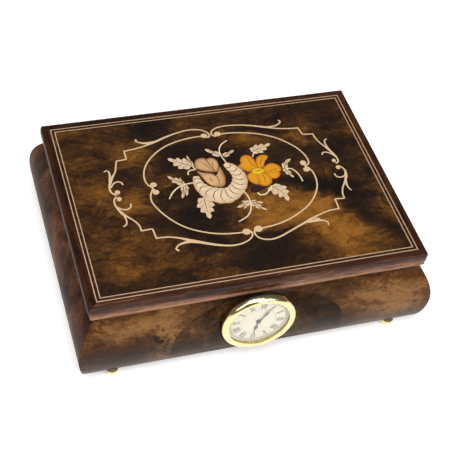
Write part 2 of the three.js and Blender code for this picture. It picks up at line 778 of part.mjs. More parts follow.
// Barrel bridge: carries the top of the winding arbor and the left pivot of the cylinder
const bridgeArch = alongX(shapeOf([
  [-17, BED_THICK], [-14.8, BED_THICK], [-14.8, 14.5], [14.8, 14.5], [14.8, BED_THICK], [17, BED_THICK],
  [17, 16], [-17, 16],
]), BARREL_X - 4, BARREL_X + 7);
const lugOutline = shapeOf([[-3, 14.5], [3, 14.5], [3, 17], [1.8, 19], [-1.8, 19], [-3, 17]]);
const bridgeLug = alongX(lugOutline, -7.2, -5);
movementPart('barrel_bridge', cut(
  join(bridgeArch, bridgeLug),
  standing(turnZ(rodOutline(1.35, 13, 18), 14), BARREL_X, 0),
  lying(turnX(rodOutline(1.15, -7.6, -4), 14), 0, AXIS_Z),
), STEEL);

// Winding arbor and its key under the box
const KEY_TOP = -4.6;
const KEY_HUB_BOTTOM = -11.5;
const KEY_BOTTOM = -18.2;
movementPart('winding_arbor', standing(turnZ([
  [0, KEY_HUB_BOTTOM + 1.5], [1.6, KEY_HUB_BOTTOM + 1.5], [1.6, -1], [2, -0.8], [2, 14.2], [1.2, 14.3],
  [1.2, 15.8], [0, 15.8],
], 14), BARREL_X, 0), STEEL);
const keyBow = alongY(shapeOf([
  [-2.6, KEY_HUB_BOTTOM + 0.6], [-4, -12.4], [-7.4, -11.6], [-9.4, -12.8], [-10, -15], [-9.2, -17.2],
  [-7, KEY_BOTTOM], [-4, -17.8], [-1.8, -16.6], [1.8, -16.6], [4, -17.8], [7, KEY_BOTTOM], [9.2, -17.2],
  [10, -15], [9.4, -12.8], [7.4, -11.6], [4, -12.4], [2.6, KEY_HUB_BOTTOM + 0.6],
], [circle(-6.9, -14.9, 1.5, 12), circle(6.9, -14.9, 1.5, 12)]), -0.8, 0.8);
const keyHub = turnZ([
  [0, KEY_HUB_BOTTOM - 2], [2.4, KEY_HUB_BOTTOM - 1.6], [3.2, KEY_HUB_BOTTOM],
  [3.2, KEY_TOP], [1.72, KEY_TOP],
  [1.72, KEY_HUB_BOTTOM + 1.2], [0, KEY_HUB_BOTTOM + 1.2],
], 18);
movementPart('winding_key', standing(join(keyBow, keyHub), BARREL_X, 0), BRASS);

// Pinned cylinder on its arbor
const drum = turnX([
  [ARBOR_RADIUS + 0.06, CYLINDER_X0], [CYLINDER_RADIUS, CYLINDER_X0], [CYLINDER_RADIUS, CYLINDER_X1],
  [5.6, CYLINDER_X1], [5.6, CYLINDER_X0 + 1.2], [ARBOR_RADIUS + 0.06, CYLINDER_X0 + 1.2],
  [ARBOR_RADIUS + 0.06, CYLINDER_X0],
], 28);
const GOLDEN_TURN = 137.508;
const drumPins = [];
for (let note = 0; note < NOTES; note += 1) {
  const count = 2 + ((note * 5) % 3);
  for (let k = 0; k < count; k += 1) {
    const pin = new THREE.CylinderGeometry(0.16, 0.24, PIN_TIP - CYLINDER_RADIUS + 0.4, 3);
    pin.translate(0, (PIN_TIP + CYLINDER_RADIUS - 0.4) / 2, 0);
    pin.rotateX(THREE.MathUtils.degToRad(GOLDEN_TURN * note + (360 * k) / count));
    pin.translate(firstTooth + note * NOTE_PITCH, 0, 0);
    drumPins.push(pin);
  }
}
movementPart('cylinder', lying(join(drum, ...drumPins), 0, AXIS_Z), BRASS);
movementPart('cylinder_arbor', lying(turnX(rodOutline(ARBOR_RADIUS, -6.8, 28.4), 16), 0, AXIS_Z), STEEL);

const arborBore = ARBOR_RADIUS + 0.06;
const pinionGear = gearOutline(PINION_TEETH, 2.5, 3.35, 0.62, 0.3, PINION_PHASE, arborBore);
movementPart('drive_pinion', lying(alongX(pinionGear, PINION_X - 0.7, PINION_X + 0.7), 0, AXIS_Z), BRASS);
const greatGear = gearOutline(GREAT_TEETH, 7.5, 8.35, 0.6, 0.34, GREAT_PHASE, arborBore);
movementPart('great_wheel', lying(alongX(greatGear, GREAT_X - 0.6, GREAT_X + 0.6), 0, AXIS_Z), BRASS);

// Governor: pinion and worm wheel on one arbor, then the worm with the air brake on top
const governorPinion = gearOutline(GOVERNOR_PINION_TEETH, 1.5, 2.35, 0.55, 0.3, GOVERNOR_PHASE);
const wormWheel = gearOutline(WORM_WHEEL_TEETH, 4.5, 5.15, 0.5, 0.28, WORM_WHEEL_PHASE);
movementPart('governor_wheel', lying(join(
  turnX(rodOutline(0.7, 19.2, 28.7), 12),
  alongX(governorPinion, GREAT_X - 0.7, GREAT_X + 0.7),
  alongX(wormWheel, WORM_WHEEL_X - 0.4, WORM_WHEEL_X + 0.4),
), GOVERNOR_Y, GOVERNOR_Z), WHITE_PLASTIC);

class ThreadCurve extends THREE.Curve {
  getPoint(t) {
    const turns = 3.2;
    const angle = THREE.MathUtils.degToRad(WORM_PHASE) + 2 * Math.PI * turns * (t - 0.5);
    return new THREE.Vector3(1.12 * Math.cos(angle), 1.12 * Math.sin(angle), TOOTH_PITCH * turns * (t - 0.5));
  }
}
const thread = new THREE.ExtrudeGeometry(shapeOf(circle(0, 0, 0.26, 5)), {
  steps: 40,
  extrudePath: new ThreadCurve(),
});
thread.translate(0, 0, GOVERNOR_Z);
movementPart('governor_worm', standing(join(
  turnZ([
    [0, 3.9], [0.55, 3.9], [0.55, 5.6], [0.95, 6], [0.95, 14], [0.55, 14.4], [0.55, 22.3], [0, 22.3],
  ], 12),
  thread,
), WORM_WHEEL_X, WORM_Y), STEEL);
movementPart('air_brake', standing(cut(
  join(turnZ(rodOutline(1.4, 18.6, 21.8), 14), box(-FAN_RADIUS, FAN_RADIUS, -0.25, 0.25, 18.6, 21.8)),
  turnZ(rodOutline(0.62, 18, 22.5), 14),
), WORM_WHEEL_X, WORM_Y), WHITE_PLASTIC);

// Governor bracket: base strip, two uprights, top arm over the worm and the stop rod's guide
const upright = alongX(shapeOf([
  [-4, BED_THICK], [17, BED_THICK], [17, 12], [8.8, 17], [8.8, 24], [2, 24], [2, 20], [-4, 18.5],
]), 27, 28.5);
movementPart('governor_bracket', cut(
  join(
    box(16.4, 28.4, 6.5, 17, BED_THICK, 3.7),
    upright,
    box(19.4, 20.6, 6.5, 11.5, 3.5, 12),
    box(22.8, 28.4, 2.1, 16.5, 22.6, 23.9),
    standing(turnZ(rodOutline(1.8, 3.5, 8), 16), STOP_ROD_X, STOP_ROD_Y),
  ),
  lying(turnX(rodOutline(1.15, 26, 30), 14), 0, AXIS_Z),
  lying(turnX(rodOutline(0.85, 18, 30), 14), GOVERNOR_Y, GOVERNOR_Z),
  standing(turnZ(rodOutline(0.8, 2, 9), 12), STOP_ROD_X, STOP_ROD_Y),
), STEEL);

// Stop rod: rises when the lid opens and frees the air brake
movementPart('stop_rod', standing(join(
  turnZ([[0, 0.3], [0.6, 0.3], [0.6, STOP_ROD_TOP - 0.6], [0.3, STOP_ROD_TOP], [0, STOP_ROD_TOP]], 12),
  box(0, 0.9, -0.4, 0.4, 19.6, 20.8),
), STOP_ROD_X, STOP_ROD_Y), STEEL);

export default group;
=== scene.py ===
"""Looks of an inlaid walnut music box with a clock in its bombe front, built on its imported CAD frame."""

import json
import math

import bmesh
import bpy
from mathutils import Matrix, Vector

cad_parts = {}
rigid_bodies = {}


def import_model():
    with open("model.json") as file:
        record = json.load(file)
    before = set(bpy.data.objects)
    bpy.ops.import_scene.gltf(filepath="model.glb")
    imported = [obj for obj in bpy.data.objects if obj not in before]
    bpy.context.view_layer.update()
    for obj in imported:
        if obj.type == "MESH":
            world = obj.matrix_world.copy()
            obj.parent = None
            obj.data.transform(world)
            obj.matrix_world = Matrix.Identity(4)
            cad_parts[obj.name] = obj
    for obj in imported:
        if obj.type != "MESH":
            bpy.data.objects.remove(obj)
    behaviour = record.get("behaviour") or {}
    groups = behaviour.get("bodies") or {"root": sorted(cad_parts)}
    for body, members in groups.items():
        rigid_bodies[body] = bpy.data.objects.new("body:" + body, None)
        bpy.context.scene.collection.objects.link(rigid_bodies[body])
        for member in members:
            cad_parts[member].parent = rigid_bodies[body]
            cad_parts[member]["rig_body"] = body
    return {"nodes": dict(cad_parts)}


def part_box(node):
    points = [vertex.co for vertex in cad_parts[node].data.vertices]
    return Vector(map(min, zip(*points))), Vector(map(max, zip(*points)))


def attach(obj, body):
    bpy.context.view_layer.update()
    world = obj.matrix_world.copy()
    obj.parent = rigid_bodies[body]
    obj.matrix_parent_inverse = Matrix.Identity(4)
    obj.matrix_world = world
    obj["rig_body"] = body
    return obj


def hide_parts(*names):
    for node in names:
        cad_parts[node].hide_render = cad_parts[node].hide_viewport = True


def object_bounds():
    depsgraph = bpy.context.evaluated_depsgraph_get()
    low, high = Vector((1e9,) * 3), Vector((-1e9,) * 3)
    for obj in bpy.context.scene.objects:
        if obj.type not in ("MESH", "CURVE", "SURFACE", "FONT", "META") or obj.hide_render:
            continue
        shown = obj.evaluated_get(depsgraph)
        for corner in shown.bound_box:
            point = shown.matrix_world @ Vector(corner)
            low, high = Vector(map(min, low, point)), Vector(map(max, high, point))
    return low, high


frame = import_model()
cad_low, cad_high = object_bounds()
nodes = frame["nodes"]
MM = 0.001


# ---- node helpers


def colour(code):
    """A linear RGBA colour from a hex code such as a87030."""
    channels = [int(code[i : i + 2], 16) / 255 for i in (0, 2, 4)]
    linear = [c / 12.92 if c <= 0.04045 else ((c + 0.055) / 1.055) ** 2.4 for c in channels]
    return (*linear, 1.0)


class Surface:
    """A material with one Principled shader, and short calls that add nodes to it."""

    def __init__(self, name, **settings):
        self.material = bpy.data.materials.new(name)
        self.material.use_nodes = True
        self.tree = self.material.node_tree
        self.shader = self.tree.nodes["Principled BSDF"]
        self.place = self.add("ShaderNodeTexCoord").outputs["Object"]
        for socket, value in settings.items():
            self.shader.inputs[socket.replace("_", " ")].default_value = value

    def add(self, kind, inputs=None, **settings):
        made = self.tree.nodes.new(kind)
        for key, value in settings.items():
            setattr(made, key, value)
        for key, value in (inputs or {}).items():
            self.put(value, made.inputs[key])
        return made

    def put(self, value, socket):
        if isinstance(value, bpy.types.NodeSocket):
            self.tree.links.new(value, socket)
        else:
            socket.default_value = value

    def drive(self, socket, value):
        """Sets one of the shader's inputs."""
        self.put(value, self.shader.inputs[socket])

    def math(self, operation, first, second=0.0):
        return self.add("ShaderNodeMath", {0: first, 1: second}, operation=operation).outputs[0]

    def noise(self, place, size_mm, detail=4.0, roughness=0.5, distortion=0.0):
        settings = {"Vector": place, "Scale": 1 / (size_mm * MM), "Detail": detail}
        settings.update({"Roughness": roughness, "Distortion": distortion})
        return self.add("ShaderNodeTexNoise", settings)

    def moved(self, place, scale=(1, 1, 1), angle=(0, 0, 0), offset=(0, 0, 0)):
        settings = {"Vector": place, "Scale": scale, "Rotation": angle, "Location": offset}
        return self.add("ShaderNodeMapping", settings).outputs["Vector"]

    def warped(self, place, size_mm, amount_mm):
        """The place pushed about by a soft noise."""
        kind = "ShaderNodeVectorMath"
        cloud = self.noise(place, size_mm, 3).outputs["Color"]
        push = self.add(kind, {0: cloud, 1: (0.5, 0.5, 0.5)}, operation="SUBTRACT")
        scaled = self.add(kind, {0: push.outputs[0], "Scale": amount_mm * MM}, operation="SCALE")
        return self.add(kind, {0: place, 1: scaled.outputs[0]}).outputs[0]

    def patch(self, place, centre, radii, angle=0.0):
        """1 at the centre of a soft oval, falling to 0 at its edge. Sizes are in metres."""
        settings = {"Vector": place, "Location": centre, "Rotation": (0, 0, angle), "Scale": radii}
        local = self.add("ShaderNodeMapping", settings, vector_type="TEXTURE")
        inputs = {"Vector": local.outputs[0]}
        return self.add("ShaderNodeTexGradient", inputs, gradient_type="SPHERICAL").outputs["Fac"]

    def patched(self, value, place, patches):
        """The value with the strength of each soft patch added where the patch lies."""
        for centre, radii, turn, strength in patches:
            oval = self.patch(place, centre, radii, turn)
            value = self.math("ADD", value, self.math("MULTIPLY", oval, strength))
        return value

    def ramp(self, value, stops):
        made = self.add("ShaderNodeValToRGB", {"Fac": value})
        elements = made.color_ramp.elements
        while len(elements) < len(stops):
            elements.new(0.5)
        for element, (position, code) in zip(elements, stops):
            element.position = position
            element.color = colour(code)
        return made.outputs["Color"]

    def mix(self, amount, first, second, blend="MIX"):
        made = self.add("ShaderNodeMix", data_type="RGBA", blend_type=blend)
        sockets = {s.identifier: s for s in made.inputs}
        self.put(amount, sockets["Factor_Float"])
        self.put(first, sockets["A_Color"])
        self.put(second, sockets["B_Color"])
        return {s.identifier: s for s in made.outputs}["Result_Color"]

    def span(self, value, low, high, start=0.0, end=1.0):
        """The value mapped from start..end to low..high."""
        inputs = {"Value": value, "From Min": start, "From Max": end, "To Min": low, "To Max": high}
        return self.add("ShaderNodeMapRange", inputs).outputs["Result"]

    def bump(self, height, strength, depth_mm):
        inputs = {"Height": height, "Strength": strength, "Distance": depth_mm * MM}
        self.drive("Normal", self.add("ShaderNodeBump", inputs).outputs[0])


def wood(
    name,
    stops,
    figure_mm=30,
    stretch=(1, 1, 1),
    angle=(0, 0, 0),
    warp_mm=12,
    contrast=1.0,
    patches=(),
    eyes=None,
    eye_patches=(),
    grain=(1, 1, 1),
    grain_mm=1.2,
    gloss=0.26,
    coat=0.3,
    mirror=0.3,
    veins=0.12,
):
    """Lacquered wood: large figure, lighter or darker patches, small burr eyes, fine grain and pores."""
    surface = Surface(name, Coat_Weight=coat, Coat_Roughness=0.07, IOR=1.5, Specular_IOR_Level=mirror)
    warped = surface.warped(surface.place, figure_mm * 1.4, warp_mm)
    warped = surface.warped(warped, figure_mm * 0.3, warp_mm * 0.4)
    figure_place = surface.moved(warped, stretch, angle)
    figure = surface.noise(figure_place, figure_mm, 10, 0.66, 0.4).outputs["Fac"]
    value = surface.span(figure, 0.5 - 0.5 * contrast, 0.5 + 0.5 * contrast, 0.25, 0.75)
    curl = surface.noise(figure_place, figure_mm * 0.22, 6, 0.7, 1.6).outputs["Fac"]
    value = surface.math("ADD", value, surface.span(curl, -0.13, 0.13, 0.3, 0.7))
    line = surface.noise(figure_place, figure_mm * 0.8, 4, 0.5, 0.9).outputs["Fac"]
    off_line = surface.math("ABSOLUTE", surface.math("SUBTRACT", line, 0.5))
    value = surface.math("ADD", value, surface.span(off_line, -veins, 0.0, 0.0, 0.05))
    fibre_place = surface.moved(warped, grain, angle)
    fibre = surface.noise(fibre_place, grain_mm * 4, 6, 0.7).outputs["Fac"]
    value = surface.math("ADD", value, surface.span(fibre, -0.16, 0.16, 0.25, 0.75))
    tone = surface.ramp(surface.patched(value, warped, patches), stops)
    if eyes:
        eye_mm, eye_code, halo_code = eyes
        crowd = surface.patched(0.0, warped, eye_patches)
        inputs = {"Vector": surface.warped(surface.place, 6, 6), "Scale": 1 / (eye_mm * MM)}
        cells = surface.add("ShaderNodeTexVoronoi", inputs)
        spread = surface.noise(surface.place, eye_mm * 1.6, 3, 0.6).outputs["Fac"]
        uneven = surface.span(spread, -0.22, 0.3, 0.35, 0.65)
        reach = surface.math("ADD", cells.outputs["Distance"], uneven)
        open_eyes = surface.math("MULTIPLY", crowd, surface.span(reach, 1.0, 0.0, 0.1, 0.42))
        halo = surface.math("MULTIPLY", crowd, surface.span(reach, 0.6, 0.0, 0.2, 0.7))
        tone = surface.mix(halo, tone, colour(halo_code))
        tone = surface.mix(open_eyes, tone, colour(eye_code))
    pores = surface.noise(fibre_place, grain_mm * 0.5, 3, 0.7).outputs["Fac"]
    tone = surface.mix(surface.span(pores, 0.55, 0.0, 0.33, 0.5), tone, colour("1c0f07"))
    surface.drive("Base Color", tone)
    surface.drive("Roughness", surface.span(pores, gloss + 0.12, gloss - 0.03))
    surface.bump(pores, 0.12, 0.05)
    return surface.material


def plain(name, low_code, high_code, size_mm, rough, depth_mm=0.02, stretch=(1, 1, 1), **more):
    """An even material with slight colour and gloss changes from wear and handling."""
    surface = Surface(name, **more)
    place = surface.moved(surface.place, stretch)
    fine = surface.noise(place, size_mm, 6, 0.65).outputs["Fac"]
    broad = surface.noise(surface.place, size_mm * 9, 3).outputs["Fac"]
    blended = surface.mix(surface.span(fine, 0, 1, 0.3, 0.7), colour(low_code), colour(high_code))
    surface.drive("Base Color", blended)
    worn = surface.math("MULTIPLY", surface.math("ADD", fine, broad), 0.5)
    surface.drive("Roughness", surface.span(worn, rough[0], rough[1], 0.35, 0.65))
    surface.bump(fine, 0.25, depth_mm)
    return surface.material


def velvet(name, low_code, high_code):
    """Short pile: a sheen at grazing angles and a fine nap with brushed patches."""
    surface = Surface(name, Roughness=0.95, Sheen_Weight=0.35, Sheen_Roughness=0.4)
    surface.drive("Sheen Tint", colour("e0909c"))
    surface.drive("Specular IOR Level", 0.1)
    nap = surface.noise(surface.place, 0.5, 4, 0.7).outputs["Fac"]
    brushed = surface.noise(surface.place, 22, 3, 0.5, 0.3).outputs["Fac"]
    brushed_part = surface.math("MULTIPLY", brushed, 0.3)
    value = surface.math("ADD", surface.math("MULTIPLY", nap, 0.7), brushed_part)
    stops = [(0.25, low_code), (0.8, high_code)]
    surface.drive("Base Color", surface.ramp(value, stops))
    surface.bump(nap, 0.5, 0.2)
    return surface.material


def inlay(name, light_code, shade_code):
    """Pale veneer whose edges are scorched in hot sand: the shade attribute is 1 at a piece's edge."""
    surface = Surface(name, Roughness=0.32, Coat_Weight=0.5, Coat_Roughness=0.09, IOR=1.5)
    edge = surface.add("ShaderNodeAttribute", attribute_name="shade").outputs["Fac"]
    grain_place = surface.moved(surface.place, (1, 5, 1), (0, 0, 0.5))
    grain = surface.noise(grain_place, 2.2, 5, 0.6).outputs["Fac"]
    scorch = surface.math("ADD", edge, surface.span(grain, -0.12, 0.2, 0.3, 0.7))
    tone = surface.mix(scorch, colour(light_code), colour(shade_code))
    surface.drive("Base Color", tone)
    surface.bump(grain, 0.1, 0.02)
    return surface.material


def clear(name, tint, gloss_rough):
    """Thin clear sheet: lets light straight through and mirrors a little at grazing angles."""
    surface = Surface(name)
    tree = surface.tree
    smear = surface.noise(surface.place, 9, 4).outputs["Fac"]
    through = surface.add("ShaderNodeBsdfTransparent", {"Color": colour(tint)})
    mirror = surface.add("ShaderNodeBsdfGlossy", {"Color": (1, 1, 1, 1)})
    surface.put(surface.span(smear, gloss_rough, gloss_rough + 0.05), mirror.inputs["Roughness"])
    facing = surface.add("ShaderNodeLayerWeight", {"Blend": 0.5}).outputs["Facing"]
    share = surface.span(surface.math("POWER", facing, 4.0), 0.04, 0.6)
    both = surface.add("ShaderNodeMixShader", {0: share})
    tree.links.new(through.outputs[0], both.inputs[1])
    tree.links.new(mirror.outputs[0], both.inputs[2])
    tree.links.new(both.outputs[0], tree.nodes["Material Output"].inputs["Surface"])
    tree.nodes.remove(surface.shader)
    return surface.material


# ---- materials

front_low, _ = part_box("case_front")
lid_low, lid_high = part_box("string_outer")
LID_Y = (lid_low.y + lid_high.y) / 2


def lid_patch(x, y, long, short, degrees, strength):
    """A patch on the lid, placed in mm from its middle."""
    centre = (x * MM, y * MM + LID_Y, lid_high.z)
    return (centre, (long * MM, short * MM, 1), math.radians(degrees), strength)


def front_patch(x, z, wide, tall, strength):
    """A patch on the front, placed in mm from the middle of the front and the ground."""
    return ((x * MM, front_low.y, z * MM), (wide * MM, 1, tall * MM), 0, strength)


LID_BROWNS = [
    (0.0, "0c0603"), (0.25, "1a0e06"), (0.45, "2e1a08"), (0.62, "4a2c0e"), (0.8, "6b4314"), (1.0, "8c5a1e"),
]
FRONT_TANS = [(0.0, "120904"), (0.25, "231306"), (0.5, "38200c"), (0.75, "543416"), (1.0, "7e5832")]
MEDALLION_BROWNS = [(0.0, "140b05"), (0.3, "25160a"), (0.55, "392410"), (0.8, "50351a"), (1.0, "684824")]
WALNUTS = [(0.0, "1a0e08"), (0.3, "321d12"), (0.55, "503220"), (0.8, "6e4a34"), (1.0, "8c654c")]
# The two palest moulding stops are painted highlight colours, reached where the painted highlight band below
# lifts the value.
MOULDING_BROWNS_AND_HIGHLIGHT = [(0.0, "0e0604"), (0.35, "22120b"), (0.6, "442718"), (0.8, "7a5038"), (1.0, "a07458")]

# The lid's paler and darker parts: x, y, long and short radius in mm, turn in degrees, strength.
LID_PATCHES = [
    (62, -55, 50, 42, 40, 0.5), (30, -24, 52, 24, -8, 0.56), (8, -24, 25, 14, 0, 0.18),
    (62, -10, 46, 9, -24, -0.75), (86, -38, 36, 10, -58, -0.5), (-80, -56, 46, 18, -8, 0.18),
    (-72, 2, 44, 15, -28, 0.42), (-92, 12, 24, 18, 0, 0.2), (-58, 40, 20, 26, 10, 0.35),
    (-84, 52, 22, 20, 0, 0.15), (-26, -18, 42, 34, 0, -0.38), (-8, 32, 44, 20, 0, -0.3),
    (0, -58, 36, 18, 0, -0.3), (24, 44, 24, 12, -10, 0.3), (58, 46, 24, 20, 0, 0.34),
    (84, 20, 20, 44, 0, -0.2), (-40, 62, 22, 18, 0, -0.25),
]
lid_wood = wood(
    "lid_burl", LID_BROWNS, figure_mm=30, stretch=(0.62, 1.15, 1), angle=(0, 0, -0.4), warp_mm=24,
    contrast=0.8, grain=(1, 4, 1), patches=[lid_patch(*row) for row in LID_PATCHES],
    eyes=(5, "120905", "2a170b"),
    eye_patches=[lid_patch(12, -56, 34, 20, 0, 0.8), lid_patch(48, 8, 26, 20, 0, 0.5)],
)
# The same for the front: x, z, wide and tall radius in mm, strength. The first row is painted shade: a darker
# band along the bottom of the front, where it turns under.
FRONT_FIGURE_AND_SHADE = [
    (0, 4, 130, 9, -0.3), (-76, 47, 50, 22, 0.5), (-58, 22, 24, 28, 0.45), (-92, 20, 22, 16, -0.2),
    (66, 44, 34, 16, 0.4), (94, 34, 40, 28, 0.6),
]
front_wood = wood(
    "front_burl", FRONT_TANS, figure_mm=24, stretch=(0.55, 1, 1.2), angle=(0, 0.5, 0), warp_mm=16,
    contrast=0.75, grain=(1, 1, 4), coat=0.05, mirror=0.08,
    patches=[front_patch(*row) for row in FRONT_FIGURE_AND_SHADE],
    eyes=(4.6, "1c0e06", "3e2210"),
    eye_patches=[front_patch(-66, 30, 34, 24, 1.7), front_patch(72, 20, 18, 12, 0.6)],
)
medallion_wood = wood(
    "medallion_burl", MEDALLION_BROWNS, figure_mm=16, warp_mm=9, contrast=1.1, coat=0.04, mirror=0.06,
    patches=[front_patch(38, 34, 26, 26, -0.25)], eyes=(3.4, "1c110a", "35220f"),
    eye_patches=[front_patch(-2, 25, 90, 60, 0.7)],
)
case_wood = wood(
    "walnut_burl", WALNUTS, figure_mm=22, warp_mm=16, grain=(1, 1, 4), gloss=0.34, coat=0.0, mirror=0.02,
    eyes=(5, "2a180d", "4a3120"), eye_patches=[((0, 0, 30 * MM), (0.16, 0.16, 1), 0, 0.5)],
)

moulding_low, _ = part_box("lid_moulding_front")
side_low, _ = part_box("lid_moulding_left")
# Painted highlight: a paler band along the lower outer face of each lid moulding, where the bullnose would
# catch the light, made by soft patches that lift the figure into the pale top stops.
HIGHLIGHT_Z = moulding_low.z + 2 * MM
HIGHLIGHT_DEEP, HIGHLIGHT_TALL, HIGHLIGHT_STRENGTH = 7 * MM, 9 * MM, 0.62
FRONT_AND_BACK_HIGHLIGHTS = [
    ((0, y, HIGHLIGHT_Z), (1, HIGHLIGHT_DEEP, HIGHLIGHT_TALL), 0, HIGHLIGHT_STRENGTH)
    for y in (moulding_low.y, 2 * LID_Y - moulding_low.y)
]
LEFT_AND_RIGHT_HIGHLIGHTS = [
    ((x, LID_Y, HIGHLIGHT_Z), (HIGHLIGHT_DEEP, 1, HIGHLIGHT_TALL), 0, HIGHLIGHT_STRENGTH) for x in (side_low.x, -side_low.x)
]
MOULDING = {"figure_mm": 9, "warp_mm": 2, "contrast": 0.45, "grain_mm": 0.8, "gloss": 0.34}
moulding_along_x = wood(
    "moulding_x", MOULDING_BROWNS_AND_HIGHLIGHT, stretch=(0.08, 1, 1), grain=(0.06, 1, 1), coat=0.06, mirror=0.15,
    patches=FRONT_AND_BACK_HIGHLIGHTS, **MOULDING,
)
moulding_along_y = wood(
    "moulding_y", MOULDING_BROWNS_AND_HIGHLIGHT, stretch=(1, 0.08, 1), grain=(1, 0.06, 1), coat=0.0, mirror=0.05,
    patches=LEFT_AND_RIGHT_HIGHLIGHTS, **MOULDING,
)
stringing = plain("stringing", "a08464", "c0a282", 2, (0.4, 0.5), Coat_Weight=0.1)
plywood = plain("plywood", "b58d5c", "d0ab78", 2, (0.55, 0.75), 0.05, (0.1, 1, 1))
red_velvet = velvet("red_velvet", "3a0810", "7c1826")
brass = plain("brass", "d8c086", "eedcae", 1.5, (0.14, 0.22), 0.0012, Metallic=1.0)
foot_brass = plain("foot_brass", "e2cc98", "f4e4bc", 1.5, (0.42, 0.5), 0.004, Metallic=0.8)
satin_brass = plain("satin_brass", "d4b066", "e8cc8a", 0.6, (0.3, 0.42), 0.0006, Metallic=1.0)
black_plastic = plain("black_plastic", "101011", "1e1e20", 0.8, (0.4, 0.55), 0.02)
dial_card = plain("dial_card", "d6d2c2", "e0dccf", 0.7, (0.5, 0.6), 0.01)
print_ink = plain("print_ink", "35322c", "4a4640", 0.5, (0.45, 0.6), 0.005)
hand_paint = plain("hand_paint", "1c1814", "342c24", 0.6, (0.3, 0.42), 0.005)
steel = plain("steel", "d2d2d2", "e8e8e8", 0.7, (0.34, 0.46), 0.0008, (0.2, 1, 1), Metallic=1.0)
blued_steel = plain("blued_steel", "7c8088", "a4a8b0", 0.7, (0.3, 0.44), 0.0008, (1, 0.2, 1), Metallic=1.0)
white_plastic = plain("white_plastic", "dcdad0", "eceae2", 0.8, (0.4, 0.5), 0.01)
lens_glass = clear("lens_glass", "fdfcf9", 0.02)
cover_sheet = clear("cover_sheet", "eef3f3", 0.04)
inlay_cream = inlay("inlay_cream", "dcc5a2", "94602e")
inlay_tan = inlay("inlay_tan", "cdb08a", "a98658")
inlay_rose = inlay("inlay_rose", "c89e70", "7a4a20")
inlay_orange = inlay("inlay_orange", "d49018", "a05a0a")
inlay_yellow = inlay("inlay_yellow", "dcb81c", "a8860e")
inlay_plum = inlay("inlay_plum", "2c1418", "1a0a0c")
inlay_cut = plain("inlay_cut", "3a2414", "5a3a22", 1, (0.4, 0.5), 0.005)

SLOT_LOOKS = {
    "walnut": case_wood,
    "light_burl": front_wood,
    "medallion_burl": medallion_wood,
    "dark_burl": lid_wood,
    "moulding": moulding_along_x,
    "stringing": stringing,
    "plywood": plywood,
    "velvet": red_velvet,
    "clear_cover": cover_sheet,
    "lens": lens_glass,
    "brass": brass,
    "clock_black": black_plastic,
    "dial": dial_card,
    "hands": hand_paint,
    "steel": steel,
    "spring_steel": blued_steel,
    "white_plastic": white_plastic,
}
CORNERS = ("front_left", "front_right", "back_left", "back_right")
NODE_LOOKS = {
    "lid_moulding_left": moulding_along_y,
    "lid_moulding_right": moulding_along_y,
    **{"foot_" + corner: foot_brass for corner in CORNERS},
    "cylinder": satin_brass,
    "great_wheel": satin_brass,
    "spring_barrel": satin_brass,
}
for name, cad in nodes.items():
    for place, held in enumerate(cad.data.materials):
        slot_name = held.name.split(".")[0]
        cad.data.materials[place] = NODE_LOOKS.get(name, SLOT_LOOKS[slot_name])


# ---- mesh helpers


def finish_piece(name, mesh, material, body):
    """Links a finished mesh as a piece that rides on a body, with the given material."""
    piece = bpy.data.objects.new(name, mesh)
    bpy.context.scene.collection.objects.link(piece)
    mesh.materials.append(material)
    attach(piece, body)
    return piece


def between(p, q, r, s, t):
    """The value at t, from 0 to 1, on a smooth curve from q to r, where p comes before and s after."""
    second, third = 2 * p - 5 * q + 4 * r - s, 3 * q - p - 3 * r + s
    return 0.5 * (2 * q + (r - p) * t + second * t**2 + third * t**3)


def through(points, steps=8, closed=False):
    """Points on a smooth curve that passes through the given ones."""
    count = len(points)
    spans = count if closed else count - 1
    made = []
    for i in range(spans):
        if closed:
            a, b, c, d = (points[(i + k - 1) % count] for k in range(4))
        else:
            a, b = points[max(i - 1, 0)], points[i]
            c, d = points[i + 1], points[min(i + 2, count - 1)]
        for k in range(steps):
            t = k / steps
            made.append(tuple(between(*values, t) for values in zip(a, b, c, d)))
    if not closed:
        made.append(tuple(points[-1]))
    return made


